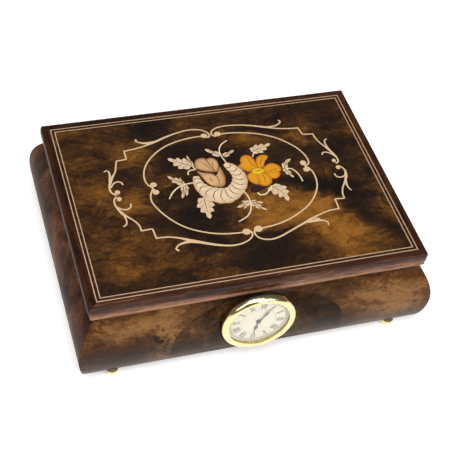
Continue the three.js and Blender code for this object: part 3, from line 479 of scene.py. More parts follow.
class Veneer:
    """Thin flat pieces let into a face: each has a top just proud of it and a skirt that goes in."""

    DEPTH = 0.25 * MM
    PROUD = 0.02 * MM
    STEP = 0.008 * MM
    LEVELS = 12
    DISC_SIDES = 20
    THINNEST = 0.05

    def __init__(self, to_world):
        self.to_world = to_world
        self.mesh = bmesh.new()
        self.shade = self.mesh.verts.layers.float.new("shade")
        self.level = 0

    def height(self):
        """The next of twelve levels, so that no piece shares a plane with those just before it."""
        self.level += 1
        return self.PROUD + self.STEP * (self.level % self.LEVELS)

    def point(self, x, y, height, shade=0.0):
        vert = self.mesh.verts.new(self.to_world(x * MM, y * MM, height))
        vert[self.shade] = shade
        return vert

    def skirt(self, ring):
        low = [self.mesh.verts.new(v.co - self.up() * self.DEPTH) for v in ring]
        for vert in low:
            vert[self.shade] = 1.0
        for i in range(len(ring)):
            j = (i + 1) % len(ring)
            self.mesh.faces.new((ring[j], ring[i], low[i], low[j]))

    def up(self):
        return (self.to_world(0, 0, 1) - self.to_world(0, 0, 0)).normalized()

    @staticmethod
    def across(path, i):
        """The unit vector to the left of a path at one of its points."""
        before, after = path[max(i - 1, 0)], path[min(i + 1, len(path) - 1)]
        run = math.hypot(after[0] - before[0], after[1] - before[1]) or 1.0
        return -(after[1] - before[1]) / run, (after[0] - before[0]) / run

    def stroke(self, points, steps=8, sharp=False):
        """A ribbon through (x, y, width) points."""
        path = points if sharp else through(points, steps)
        height = self.height()
        left, right = [], []
        for i, (x, y, width) in enumerate(path):
            nx, ny = self.across(path, i)
            half = max(width, self.THINNEST) / 2
            left.append(self.point(x + nx * half, y + ny * half, height))
            right.append(self.point(x - nx * half, y - ny * half, height))
        for i in range(len(path) - 1):
            self.mesh.faces.new((left[i], right[i], right[i + 1], left[i + 1]))
        self.skirt(right + left[::-1])

    def disc(self, x, y, radius, squash=1.0, angle=0.0):
        """A round or oval knob."""
        cosine, sine = math.cos(angle), math.sin(angle)
        ring = []
        for i in range(self.DISC_SIDES):
            a = i * math.tau / self.DISC_SIDES
            u, v = radius * math.cos(a), radius * squash * math.sin(a)
            ring.append((x + u * cosine - v * sine, y + u * sine + v * cosine))
        self.petal(ring, steps=1, shades=((1.0, 0.3), (0.8, 0.0), (0.5, 0.0)))

    def petal(self, outline, steps=5, shades=((1.0, 1.0), (0.86, 0.5), (0.66, 0.12))):
        """A filled piece inside a smooth outline, scorched towards its edge."""
        ring = through(outline, steps, closed=True)
        area = sum(ring[i - 1][0] * ring[i][1] - ring[i][0] * ring[i - 1][1] for i in range(len(ring)))
        if area < 0:
            ring.reverse()
        cx = sum(p[0] for p in ring) / len(ring)
        cy = sum(p[1] for p in ring) / len(ring)
        height = self.height()
        loops = [
            [self.point(cx + (x - cx) * scale, cy + (y - cy) * scale, height, shade) for x, y in ring]
            for scale, shade in shades
        ]
        middle = self.point(cx, cy, height)
        count = len(ring)
        for i in range(count):
            j = (i + 1) % count
            for outer, inner in zip(loops, loops[1:]):
                self.mesh.faces.new((outer[i], outer[j], inner[j], inner[i]))
            self.mesh.faces.new((loops[-1][i], loops[-1][j], middle))
        self.skirt(loops[0])

    def band(self, points, ruffles, cuts):
        """A wide ruffled strip, scorched along both edges, with a curved cut between its ruffles."""
        path = through(points, 10)
        height = self.height()
        lines = ((-1.0, 0.55), (-0.82, 0.2), (0.0, 0.0), (0.8, 0.3), (1.0, 0.95))
        last = len(path) - 1

        def at(i, side):
            """A point at a step of the path: side is -1 on the inner edge and 1 on the outer one."""
            x, y, width = path[i]
            nx, ny = self.across(path, i)
            swell = 0.93 + 0.09 * abs(math.sin(math.pi * ruffles * i / last)) if abs(side) == 1 else 1
            return x + nx * side * width / 2 * swell, y + ny * side * width / 2 * swell

        rows = [[self.point(*at(i, side), height, shade) for side, shade in lines] for i in range(last + 1)]
        for low, high in zip(rows, rows[1:]):
            for k in range(len(lines) - 1):
                self.mesh.faces.new((low[k], high[k], high[k + 1], low[k + 1]))
        for k in range(1, ruffles):
            i = round(k * last / ruffles)
            turn = min(last, i + 3)
            outer = [(*at(i, 0.75), 0.1), (*at(turn, 0.2), 0.5)]
            inner = [(*at(turn, -0.35), 0.4), (*at(i, -0.8), 0.15)]
            cuts.stroke(outer + inner, 5)

    def leaf(self, base, tip, width, teeth=4, bend=0.0, cuts=None):
        """A pointed leaf with lobed edges and, on the veneer cuts, its veins."""
        bx, by = base
        length = math.hypot(tip[0] - bx, tip[1] - by)
        ux, uy = (tip[0] - bx) / length, (tip[1] - by) / length

        def at(t, side):
            bow = bend * math.sin(math.pi * t)
            return (bx + ux * t * length - uy * (side + bow), by + uy * t * length + ux * (side + bow))

        def half(t):
            return width / 2 * math.sin(math.pi * min(t * 1.02, 1) ** 0.72)

        edges = []
        for sign in (1, -1):
            edge = [at(0.04, sign * width * 0.06)]
            for k in range(teeth):
                t = (k + 0.75) / (teeth + 0.35)
                edge.append(at(t - 0.5 / teeth, sign * half(t) * 0.84))
                edge.append(at(t - 0.1 / teeth, sign * half(t) * 1.02))
                edge.append(at(t + 0.16 / teeth, sign * half(t) * 1.02))
                if k < teeth - 1:
                    edge.append(at(t + 0.22 / teeth, sign * half(t + 0.2 / teeth) * 0.8))
            edges.append(edge)
        outline = [at(0, 0)] + edges[0] + [at(1, 0)] + edges[1][::-1]
        height = self.height()
        ring = [self.point(x, y, height, 0.22) for x, y in outline]
        self.fill(ring)
        if cuts:
            cuts.stroke([(*at(0.08, 0), 0.5), (*at(0.45, 0), 0.35), (*at(0.8, 0), 0.1)], 4)
            for k in range(teeth - 1):
                t = (k + 1.05) / (teeth + 0.35)
                for sign in (1, -1):
                    start = at(t - 0.1, sign * 0.12 * width)
                    cuts.stroke([(*start, 0.1), (*at(t + 0.06, sign * half(t) * 0.72), 0.42)], 2)

    def fill(self, ring):
        """Triangles inside a ring, facing up, with its skirt."""
        edges = [self.mesh.edges.new((ring[i - 1], ring[i])) for i in range(len(ring))]
        filled = bmesh.ops.triangle_fill(self.mesh, edges=edges, use_beauty=True)
        up = self.up()
        for face in filled["geom"]:
            if isinstance(face, bmesh.types.BMFace):
                face.normal_update()
                if face.normal.dot(up) < 0:
                    face.normal_flip()
        self.skirt(ring if self.turns_left(ring) else ring[::-1])

    def turns_left(self, ring):
        up = self.up()
        total = Vector((0, 0, 0))
        for i in range(len(ring)):
            total += ring[i - 1].co.cross(ring[i].co)
        return total.dot(up) > 0

    def done(self, name, material, body):
        mesh = bpy.data.meshes.new(name)
        self.mesh.to_mesh(mesh)
        self.mesh.free()
        return finish_piece(name, mesh, material, body)


WELD = 0.002 * MM
SHARP_DEGREES = 38
BEZEL_SEGMENTS, FOOT_SEGMENTS = 160, 48


def smooth_mesh(name, shape, sharp_degrees=None):
    """The mesh of a finished shape, shaded smooth except at edges sharper than a given angle."""
    mesh = bpy.data.meshes.new(name)
    shape.to_mesh(mesh)
    shape.free()
    for face in mesh.polygons:
        face.use_smooth = True
    if sharp_degrees:
        mesh.set_sharp_from_angle(angle=math.radians(sharp_degrees))
    return mesh


def welded(node):
    """An editable copy of a CAD node, its triangles joined at their corners."""
    shape = bmesh.new()
    shape.from_mesh(nodes[node].data)
    bmesh.ops.remove_doubles(shape, verts=shape.verts, dist=WELD)
    return shape


def same_look(node, suffix, shape):
    """A piece with a new shape and its CAD node's own material and body."""
    mesh = smooth_mesh(node + suffix, shape, SHARP_DEGREES)
    look = nodes[node].data.materials[0]
    return finish_piece(node + suffix, mesh, look, nodes[node]["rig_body"])


def refined(node, bevel_mm=0.0):
    """A smooth-shaded copy of a CAD node, with its sharp edges eased, that stands for it."""
    shape = welded(node)
    bmesh.ops.dissolve_limit(shape, angle_limit=math.radians(0.4), verts=shape.verts, edges=shape.edges)
    piece = same_look(node, "_finished", shape)
    if bevel_mm:
        bevel = piece.modifiers.new("eased_edges", "BEVEL")
        bevel.width = bevel_mm * MM
        bevel.segments = 2
        bevel.limit_method = "ANGLE"
        bevel.angle_limit = math.radians(50)
        bevel.harden_normals = True
    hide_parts(node)


for node in ("case_front", "case_back", "case_left", "case_right"):
    refined(node, 0.25)
for side in ("front", "back", "left", "right"):
    refined("lid_moulding_" + side, 0.2)
for node in ("front_medallion", "setting_knob", "winding_key", "cylinder", "spring_barrel"):
    refined(node)


def turned(node, axis, segments):
    """A finer turning of a CAD node that is round about an axis, y or z, from its own outline."""
    low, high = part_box(node)
    middle = (low + high) / 2
    shape = welded(node)
    along = {"y": 1, "z": 2}[axis]
    across = 3 - along

    def polar(vert):
        """The radius, the place along the axis and the angle of a point."""
        u, v = vert.co.x - middle.x, vert.co[across] - middle[across]
        return math.hypot(u, v), vert.co[along], math.atan2(v, u)

    rings = {v: polar(v) for v in shape.verts}
    centre, close = 0.1 * MM, 0.001
    first = min(angle for radius, _, angle in rings.values() if radius > centre and angle > -close)
    outline = {v for v, (radius, _, angle) in rings.items() if radius <= centre or abs(angle - first) < close}
    made = bmesh.new()
    copies = {v: made.verts.new(v.co) for v in outline}
    for edge in shape.edges:
        if edge.verts[0] in outline and edge.verts[1] in outline:
            made.edges.new((copies[edge.verts[0]], copies[edge.verts[1]]))
    direction = Vector((0, 1, 0)) if axis == "y" else Vector((0, 0, 1))
    geometry = made.verts[:] + made.edges[:]
    settings = {"cent": middle, "axis": direction, "angle": math.tau, "steps": segments, "use_merge": True}
    bmesh.ops.spin(made, geom=geometry, **settings)
    bmesh.ops.remove_doubles(made, verts=made.verts, dist=0.003 * MM)
    bmesh.ops.recalc_face_normals(made, faces=made.faces)
    shape.free()
    piece = same_look(node, "_turned", made)
    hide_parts(node)


turned("clock_bezel", "y", BEZEL_SEGMENTS)
for corner in CORNERS:
    turned("foot_" + corner, "z", FOOT_SEGMENTS)


# ---- marquetry of the lid


def on_lid(x, y, height):
    """A point on the lid from its middle, the given height above the veneer."""
    return Vector((x, y + LID_Y, lid_high.z + height))


scrolls = Veneer(on_lid)
FULL = 1.05


def scroll(*points):
    """A line of the scrollwork through (x, y) or (x, y, width) points, FULL wide where none is given."""
    scrolls.stroke([(*point, FULL)[:3] for point in points])


# The outer frame: each arch with its whiskers, then the stepped corners.
scroll(
    (-61, 46.4), (-52, 47.7), (-45, 49.2), (-38, 51.6, 1.6), (-30, 54.8, 1.5), (-20, 57.8), (-12, 59),
    (-5, 58), (-0.8, 55.4), (0.9, 52.2, 1.2), (0.2, 50, 1.3), (-1.8, 49.6, 1.2),
)
scroll((-50.3, 56.2, 1.3), (-50.6, 54.4, 1.1), (-47.6, 52.4, 1.3), (-43.5, 51.2, 2.2), (-38, 51.9, 1.4))
scroll(
    (65.4, 47.4), (58, 48), (50, 49.6), (42, 52.4, 1.6), (34, 55.2, 1.3), (25, 57.5), (15, 58.5), (8, 57.7),
    (4, 55.4), (2.6, 52.6, 1.2), (3.6, 50.4, 1.2), (5.4, 49.6, 1.1),
)
scroll((53.6, 57.8, 0.9), (54.6, 56, 1.1), (53, 54), (49, 52.3, 1.2), (43, 52.3, 1.2))
scroll(
    (67.2, -31.9), (60, -32.2), (52, -34.4), (45, -37.2, 1.7), (38, -40.2, 1.5), (30, -43.6, 1.2),
    (22, -47, 1.2), (15, -48.7, 1.2), (9, -47.6, 1.1), (5.6, -44.6, 1.1), (4.9, -41, 1.2), (6.4, -38.4, 1.2),
)
scroll((54.9, -44.4, 0.7), (55.3, -41.8, 0.9), (53, -39.9, 1.1), (48.6, -39, 1.9), (42, -39.2, 1.6))
scroll((51.2, -39.2, 0.8), (50.4, -37.6, 0.9), (47.5, -37.6, 1.1))
scroll(
    (-58.6, -33.6), (-51, -34), (-44, -36.2, 1.3), (-37, -39.8, 2.2), (-30, -43, 2), (-22, -46.4, 1.7),
    (-14, -48.6, 1.4), (-8, -48.8, 1.2), (-2, -47.2), (2, -44.4), (3.3, -41, 1.2), (1.8, -38.4, 1.2),
)
scroll(
    (-46.8, -46.4, 1.5), (-48.2, -44.8, 1.1), (-46.8, -42.6), (-43.5, -41, 1.5), (-38, -40.6, 2),
    (-32, -42.4, 1.6),
)

for corner in (
    [(-60.9, 46.9), (-61, 38.7), (-68, 38.2)],
    [(65, 47.9), (66.3, 40.6), (74, 39.6)],
    [(66.9, -32.4), (67.4, -23), (74, -23.6)],
    [(-58.3, -34), (-58.8, -25.4), (-66.5, -25.6)],
):
    for start, end in zip(corner, corner[1:]):
        scrolls.stroke([(*start, FULL), (*end, FULL)], sharp=True)

# Side scrolls: long C shapes with knobs at their meeting point and small curls.
scroll(
    (-67.8, 38.6), (-69.3, 34), (-70.8, 29), (-73.5, 24.5, 1.4), (-76.2, 19.5, 1.8), (-77.9, 14.5, 1.4),
    (-77.6, 10.6, 1.2), (-75.6, 8.2, 1.2), (-73.6, 8, 1.2),
)
scroll(
    (-78.4, 29.6, 0.9), (-76.8, 30.5, 0.9), (-75.3, 29.4), (-75.2, 26, 1.4), (-76.2, 21, 1.8),
    (-77.2, 16.5, 1.3),
)
scroll((-68.6, 15.8), (-69.2, 18), (-71.6, 19.3), (-74.6, 17.9), (-76.8, 14.6, 0.8))
scroll(
    (-66.2, -25.8), (-66.3, -21.5), (-68, -17.5), (-71, -13.6, 1.1), (-74.2, -9.6, 1.9), (-76.4, -5.2, 1.5),
    (-77.6, -0.5, 1.2), (-77.2, 3.6, 1.1), (-75.2, 6.3, 1.2),
)
scroll((-76.6, -20, 0.9), (-74.3, -18.6), (-73.4, -15.4), (-74, -10.5, 1.2))
scroll((-67.4, -1.4), (-68.2, -4.6), (-71, -6), (-74.2, -5.2), (-77, -2.4, 0.7))
scroll(
    (73.7, 39.8), (74.2, 35), (75.8, 30), (78.6, 24.4, 1.2), (81, 19, 1.6), (82.4, 14, 1.3), (82, 10.2, 1.2),
    (79.8, 8.8, 1.2),
)
scroll((81.9, 33), (79.9, 32), (79.1, 28.6), (79.6, 24, 1.3), (81, 19, 1.5))
scroll((73.2, 18.6), (74.6, 20.6), (77.2, 20.3), (80, 18.3), (81.8, 14.8, 0.7))
scroll(
    (74, -23.8), (74.4, -19), (76.4, -14), (79.6, -9.4, 1.3), (82.2, -5, 1.8), (83.6, -0.4, 1.5),
    (83.2, 3.4, 1.1), (81, 6.2, 1.1),
)
scroll((81.6, -17.6, 0.7), (80.2, -14.4), (80.4, -10.4, 1.3), (81.8, -5, 1.5))
scroll((75.4, -0.2), (75.8, -3), (78.4, -4.5), (81.6, -3.4), (83.2, -0.4, 0.7))

# The inner oval in four arcs between pairs of knobs.
scroll(
    (-3.5, 51.4), (-12, 51.2), (-20, 50), (-28, 47.8), (-35, 44.5), (-41, 40.2), (-46, 35.4), (-50, 29.8),
    (-52.6, 23.6), (-53.4, 17.6), (-52.5, 13), (-50.4, 10.2, 1.2), (-49.6, 7.4, 1.4),
)
scroll(
    (7, 51), (15, 51.1), (22, 50.1), (30, 48.3), (38, 45.3), (46, 40.8), (52, 35.4), (57, 29.4), (60.3, 22.8),
    (61.6, 16.6), (61, 12.4), (58.9, 10.9, 1.1), (57.3, 10.2, 1.4),
)
scroll(
    (57.4, 10.2, 1.4), (59.8, 7.6, 1.1), (61.2, 2.4), (60.9, -3.8), (59.3, -9.8), (55.6, -16.4),
    (50.4, -22.6), (44, -27.6), (36, -32), (28, -35.4), (20, -37.4, 1.1), (12, -38.3, 1.1), (9, -38.6, 1.3),
)
scroll(
    (-49.8, 8.8, 1.3), (-51.6, 6), (-53.2, 2), (-53.4, -3), (-51, -10), (-47, -17.4), (-41.6, -24.4),
    (-35.4, -29.8), (-28, -34), (-20, -37.1, 1.1), (-12, -38.8, 1.1), (-4, -39.5, 1.1), (-1, -39.6, 1.3),
)
for x, y, radius, squash, angle in (
    (-3, 51.4, 2.4, 0.9, 0), (6.8, 51.6, 2.5, 0.9, 0), (0, -39.4, 2.8, 0.9, 0),
    (8.3, -38.5, 2.9, 0.9, 0.3),
    (-48.8, 12.3, 2.3, 0.92, 0), (-48.8, 5.4, 2.3, 0.92, 0.6), (57.3, 13.4, 2.4, 0.9, 1.2),
    (57.6, 7, 2.4, 0.9, 0), (-73.7, 9.8, 2.0, 0.9, 1.2), (-73.8, 3.9, 1.9, 0.85, 1.3),
    (79.4, 11.6, 1.8, 0.8, 1.4), (80, 4.9, 1.9, 0.85, 1.2),
):
    scrolls.disc(x, y, radius, squash, angle)
scrolls.done("inlay_scrolls", inlay_tan, "lid")

cuts = Veneer(lambda x, y, height: on_lid(x, y, height + 0.12 * MM))
cuts.DEPTH = 0.02 * MM
leaves = Veneer(on_lid)


def veined(*shape):
    """A leaf with its veins cut in it."""
    leaves.leaf(*shape, cuts)


veined((-18.9, 24.4), (-33.6, 34.4), 10.5, 4, 0.6)
veined((-18.6, 24), (-20, 34.8), 2.6, 2, 0)
leaves.stroke([(-18.2, 27, 0.9), (-18.4, 23.6, 0.9), (-17.4, 20.8, 0.9)])
leaves.stroke([(-23.6, 16.8, 1.0), (-23, 19.4, 0.9), (-20.6, 20.8, 0.9), (-17.6, 20.7, 0.8)])
veined((-29.2, 9.4), (-37.8, 18.2), 5.4, 3, 0.3)
veined((-29, 8.8), (-30.2, 15.2), 2.6, 2, 0.2)
veined((-29.6, 8), (-33.2, -3.4), 3.4, 2, 0.4)
veined((-28.6, 8.8), (-29.9, -1.8), 3.4, 2, 0.9)
leaves.stroke([(-22.4, 9, 0.9), (-28, 8.8, 1), (-33, 7, 1), (-38, 3, 1), (-41.7, -2.2, 0.8)])
veined((-18.9, -4.6), (-20, -24.2), 11.6, 4, -0.4)
leaves.stroke([(4.8, 24, 0.9), (3.4, 29.6, 0.9), (3.4, 35.4, 0.9), (6.2, 40.6, 0.9), (11.6, 44.2, 0.8)])
veined((3.2, 30.6), (-6.2, 38.8), 4.8, 2, 0.3)
veined((4.4, 29.8), (13.6, 34.2), 3.9, 2, -0.3)
veined((24.8, 30.4), (40.6, 35.8), 8.6, 4, -0.4)
leaves.stroke([(24.6, 25.4, 0.8), (26, 28.2, 0.9), (28.4, 30.2, 0.9)])
veined((42.6, 9.6), (50.2, 19), 4.2, 2, 1.6)
veined((42.6, 11.4), (46.5, 1.2), 4.2, 3, -0.4)
leaves.stroke([(43.8, 10.4, 0.9), (47.2, 9.6, 0.9), (49.8, 6, 0.9), (51, 1.4, 0.9), (51.3, -3.2, 1.1)])
veined((28, -3), (36, -18.8), 11.6, 4, 2.2)
leaves.stroke([(17.6, -7.6, 1.3), (18.9, -9.8, 1.1), (22.8, -9.7, 1), (26.2, -6.8, 1), (29.4, -3.6, 1)])
low_stem = [(8.7, -4, 0.7), (10.1, -9, 0.9), (10.3, -15, 1), (8.6, -21.4, 0.9), (4.6, -26.6, 0.9)]
leaves.stroke(low_stem + [(-2.4, -30.2, 0.7)])
veined((10, -14.6), (0, -18), 3.6, 2, 0.2)
leaves.leaf((10, -14.4), (4.8, -13.2), 1.9, 2, 0)
leaves.leaf((10, -15.2), (4.2, -19.8), 2.0, 2, 0)
veined((10.4, -15), (19.4, -23.8), 4.2, 3, -0.5)
veined((10.6, -14.6), (18.6, -17.2), 3.0, 2, 0.3)
leaves.done("inlay_leaves", inlay_cream, "lid")

# The large rose: a crescent of ruffled petals round a bud.
petals = Veneer(on_lid)
petals.band(
    [
        (3.4, 22.6, 3.4), (6, 19.6, 7), (9, 14.6, 9), (10, 9, 10), (8.6, 3.6, 11), (5.4, -1, 11.5),
        (1, -4.6, 12.6), (-4.4, -6.2, 14.4), (-10, -4.6, 14), (-15, -0.8, 11.6), (-18.2, 4.4, 8.8),
        (-19.3, 9.8, 6.4), (-18.8, 14.6, 4),
    ],
    ruffles=15,
    cuts=cuts,
)
petals.done("inlay_rose_petals", inlay_cream, "lid")

bud = Veneer(lambda x, y, height: on_lid(x, y, height + 0.06 * MM))
for outline in (
    [
        (-17.2, 19.6), (-14, 17.2), (-9, 15.8), (-5, 13.4), (-2.6, 16.8), (-0.6, 20.4), (0.4, 14), (0, 8),
        (-1.6, 3.4), (-4.4, 1.7), (-9, 2.6), (-12.6, 5.4), (-14.4, 9.4), (-15.8, 14),
    ],
    [
        (-17.3, 24), (-16.4, 27.4), (-14.6, 29.8), (-11.6, 30.7), (-8.6, 30), (-7.2, 26), (-5.8, 20),
        (-5.4, 16.2), (-9, 17), (-13, 18.6), (-16.6, 21),
    ],
    [
        (-7.8, 28.6), (-5.4, 29.8), (-2.8, 29), (-1, 26.4), (-0.8, 22.4), (-2, 18.6), (-4.4, 15.6),
        (-6.2, 19.6), (-7, 24),
    ],
):
    bud.petal(outline)
dark_heart = [
    (-14.6, 13.6), (-11.4, 15.2), (-7.6, 14), (-5.2, 11), (-4.6, 7.4), (-6.2, 4.2), (-9.6, 3.6), (-12.8, 6.6),
]
bud.petal(dark_heart, shades=((1.0, 0.75), (0.84, -0.25), (0.6, -0.5)))
bud.done("inlay_rose_bud", inlay_rose, "lid")
for mark in (
    [(-12.6, 28.4, 0.15), (-9.6, 23.4, 0.45), (-7.4, 18.2, 0.2)],
    [(-4.2, 26.2, 0.15), (-5.2, 21.4, 0.45), (-5.8, 17.2, 0.2)],
    [(-16.4, 20.8, 0.3), (-12, 17.8, 0.6), (-7, 16, 0.6), (-4.8, 13.2, 0.3)],
    [(-10.2, 12.4, 0.15), (-9.8, 9.4, 0.5), (-9.2, 7, 0.15)],
    [(-5.4, 13, 0.3), (-4.8, 9, 0.5), (-5.6, 4.6, 0.2)],
    [(-15.8, 13.8, 0.2), (-13.4, 7.4, 0.5), (-9.4, 2.9, 0.5), (-4.2, 1.8, 0.3)],
):
    cuts.stroke(mark, 5)

daisy = Veneer(on_lid)
for outline in (
    [
        (23.4, 12.6), (17.4, 12.2), (13.6, 15.4), (12, 18.6), (14.4, 20.6), (15, 24.4), (17.2, 27.2),
        (20.4, 28), (23.6, 26), (25, 21.4), (25, 16),
    ],
    [(24.6, 14), (25.2, 20), (26.8, 24), (30.2, 26), (34.2, 25.6), (34.8, 23), (31.6, 19.6), (28.6, 14.4)],
    [(27.6, 13), (31.4, 16.2), (35.6, 17.2), (39.4, 14.8), (40.6, 10.8), (38.4, 8.2), (33, 8), (28.2, 9.6)],
    [(28, 9.8), (33, 9), (38, 8.2), (37.8, 5.2), (34.4, 2.6), (30.4, 3.6), (27.4, 6)],
    [(20.6, 9), (25.4, 10.6), (29.6, 8), (31.2, 3), (29.6, -1), (26, -3), (22, -1.6), (19.8, 3)],
    [(15, 5.6), (15.8, 9.6), (20.4, 11.8), (22.6, 8), (21.8, 2), (20.6, -0.6), (17, 1.4)],
):
    daisy.petal(outline)
daisy.done("inlay_daisy_petals", inlay_orange, "lid")
heart = Veneer(lambda x, y, height: on_lid(x, y, height + 0.08 * MM))
heart.petal([(19.4, 10.2), (20.4, 13), (23.6, 14.4), (27, 13.6), (28.8, 11.2), (26.4, 9.4), (22.6, 8.4)])
heart.done("inlay_daisy_heart", inlay_yellow, "lid")
for mark in (
    [(22, 11, 0.2), (24.4, 12, 0.6), (26.8, 11.8, 0.3)],
    [(20.4, 26, 0.15), (21, 22, 0.35), (22.4, 16, 0.15)],
    [(26, 8, 0.15), (26.4, 4, 0.35), (25.6, 0.4, 0.15)],
    [(31, 10.6, 0.15), (35, 10.8, 0.35), (38, 11.6, 0.15)],
    [(27.4, 16.6, 0.15), (29, 20.6, 0.35), (31.8, 23.8, 0.15)],
    [(22.8, 5, 0.15), (22.4, 1, 0.3)],
):
    cuts.stroke(mark, 4)
shadow_leaf = Veneer(on_lid)
shadow_leaf.petal([(28.8, 15), (31.8, 19.6), (35, 23.6), (37.4, 22.4), (35.8, 18), (31.6, 15.6)])
shadow_leaf.petal([(17, -1), (13.6, -4.6), (15, -7.2), (20, -6.6), (24, -4)])
shadow_leaf.done("inlay_shadow_leaf", inlay_plum, "lid")
cuts.done("inlay_cuts", inlay_cut, "lid")


# ---- printing on the dial

dial_low, dial_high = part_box("clock_dial")
DIAL_X = (dial_low.x + dial_high.x) / 2
DIAL_Z = (dial_low.z + dial_high.z) / 2
DIAL_TURN = math.radians(7)


def on_dial(x, z, height):
    """A point on the dial's face, x to the right and z up as it is read."""
    return Vector((DIAL_X + x, dial_low.y - height, DIAL_Z + z))


printing = Veneer(on_dial)
printing.PROUD, printing.STEP, printing.DEPTH = 0.01 * MM, 0.002 * MM, 0.005 * MM


def around(radius, angle):
    return radius * math.sin(angle + DIAL_TURN), radius * math.cos(angle + DIAL_TURN)


def ring_line(radius, width, parts=72):
    """A printed circle."""
    height = printing.height()
    inner, outer = [], []
    for i in range(parts):
        a = i * math.tau / parts
        inner.append(printing.point(*around(radius - width / 2, a), height))
        outer.append(printing.point(*around(radius + width / 2, a), height))
    for i in range(parts):
        j = (i + 1) % parts
        printing.mesh.faces.new((inner[i], outer[i], outer[j], inner[j]))


ring_line(19.2, 0.22)
ring_line(18.2, 0.16)
ring_line(11.6, 0.16)
for minute in range(60):
    angle = minute * math.tau / 60
    width = 0.5 if minute % 5 == 0 else 0.2
    printing.stroke([(*around(18.2, angle), width), (*around(19.2, angle), width)], sharp=True)

GLYPH_WIDTHS = {"I": 1.05, "V": 2.1, "X": 2.1}
NUMERAL_RADIUS, NUMERAL_HEIGHT = 15.0, 4.4
THICK_BAR, THIN_BAR = 0.6, 0.28
for hour, numeral in enumerate(["XII", "I", "II", "III", "IIII", "V", "VI", "VII", "VIII", "IX", "X", "XI"]):
    angle = hour * math.tau / 12

    def lettered(u, v):
        """A point of a numeral: u along the ring, v towards the rim."""
        x, z = around(NUMERAL_RADIUS + v, angle)
        across = angle + DIAL_TURN
        return x + u * math.cos(across), z - u * math.sin(across)

    start = -sum(GLYPH_WIDTHS[g] for g in numeral) / 2
    top, foot = NUMERAL_HEIGHT / 2, -NUMERAL_HEIGHT / 2
    for glyph in numeral:
        wide = GLYPH_WIDTHS[glyph]
        left, middle, right = start + 0.2, start + wide / 2, start + wide - 0.2
        bars = {
            "I": [((middle, top), (middle, foot), THICK_BAR)],
            "V": [((left, top), (middle, foot), THICK_BAR), ((right, top), (middle, foot), THIN_BAR)],
            "X": [((left, top), (right, foot), THICK_BAR), ((right, top), (left, foot), THIN_BAR)],
        }[glyph]
        for head, tail, thick in bars:
            printing.stroke([(*lettered(*head), thick), (*lettered(*tail), thick)], sharp=True)
        start += wide
    reach = sum(GLYPH_WIDTHS[g] for g in numeral) / 2
    for v in (top, foot):
        printing.stroke([(*lettered(-reach, v), 0.22), (*lettered(reach, v), 0.22)], sharp=True)
printing.done("dial_printing", print_ink, "clock_insert")


# ---- soft lining


GRID = 3 * MM
ROLL_VALLEY = 5.5 * MM


def soft_block(name, low, high, rounding_mm, node, body, puff_mm=0.0, pinch_mm=0.0, rolls=0):
    """A covered soft block: rounded edges, a crowned top, sides drawn in between the corners."""
    size = high - low
    cuts_x = max(6, int(size.x / GRID))
    cuts_y = max(6, int(size.y / GRID))
    cuts_z = max(2, int(size.z / GRID))
    made = bmesh.new()
    found = {}

    def vert(i, j, k):
        if (i, j, k) not in found:
            found[i, j, k] = made.verts.new(shaped(i / cuts_x, j / cuts_y, k / cuts_z))
        return found[i, j, k]

    def shaped(u, v, w):
        """The place of a grid point of the box after rounding, crowning and drawing in."""
        x, y, z = (2 * u - 1, 2 * v - 1, 2 * w - 1)
        half = size / 2
        r = min(rounding_mm * MM, half.x, half.y, half.z)
        core = Vector((x * half.x, y * half.y, z * half.z))
        inner = Vector([max(-h + r, min(h - r, c)) for h, c in zip(half, core)])
        out = core - inner
        place = inner + (out.normalized() * r if out.length > r else out)
        if w < 0.5:
            place.x, place.y = core.x, core.y
        crown = (1 - x**4) * (1 - y**4)
        if w > 0.5:
            place.z -= puff_mm * MM * (1 - crown) * (w - 0.5) * 2
            if rolls:
                valley = abs(math.cos(v * rolls * math.pi)) ** 10
                place.z -= ROLL_VALLEY * valley * min(1, (1 - abs(x)) * 14) * (w - 0.5) * 2
        place.x -= math.copysign(pinch_mm * MM * (1 - y * y) * abs(x) ** 6, x)
        place.y -= math.copysign(pinch_mm * MM * (1 - x * x) * abs(y) ** 6, y)
        return place + (low + high) / 2

    def quad(*corners):
        made.faces.new([vert(*corner) for corner in corners])

    for i in range(cuts_x):
        for j in range(cuts_y):
            quad((i, j, 0), (i, j + 1, 0), (i + 1, j + 1, 0), (i + 1, j, 0))
            quad((i, j, cuts_z), (i + 1, j, cuts_z), (i + 1, j + 1, cuts_z), (i, j + 1, cuts_z))
    for k in range(cuts_z):
        for i in range(cuts_x):
            quad((i, 0, k), (i + 1, 0, k), (i + 1, 0, k + 1), (i, 0, k + 1))
            quad((i, cuts_y, k), (i, cuts_y, k + 1), (i + 1, cuts_y, k + 1), (i + 1, cuts_y, k))
        for j in range(cuts_y):
            quad((0, j, k), (0, j, k + 1), (0, j + 1, k + 1), (0, j + 1, k))
            quad((cuts_x, j, k), (cuts_x, j + 1, k), (cuts_x, j + 1, k + 1), (cuts_x, j, k + 1))
    piece = finish_piece(name, smooth_mesh(name, made), red_velvet, body)
    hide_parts(node)
    return piece


soft_block("tray_pad_soft", *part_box("tray_pad"), 0.9, "tray_pad", "case", 0.7, 0.5)
ring_low, ring_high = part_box("ring_cushion")
soft_block("ring_cushion_soft", ring_low, ring_high, 3.5, "ring_cushion", "case", 1.2, 0.9, rolls=6)
soft_block("lid_lining_soft", *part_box("lid_lining"), 0.5, "lid_lining", "lid", 0.0, 0.3)
soft_block("partition_side_cover", *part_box("partition_side"), 1.0, "partition_side", "case")
soft_block("partition_cross_cover", *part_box("partition_cross"), 1.0, "partition_cross", "case")


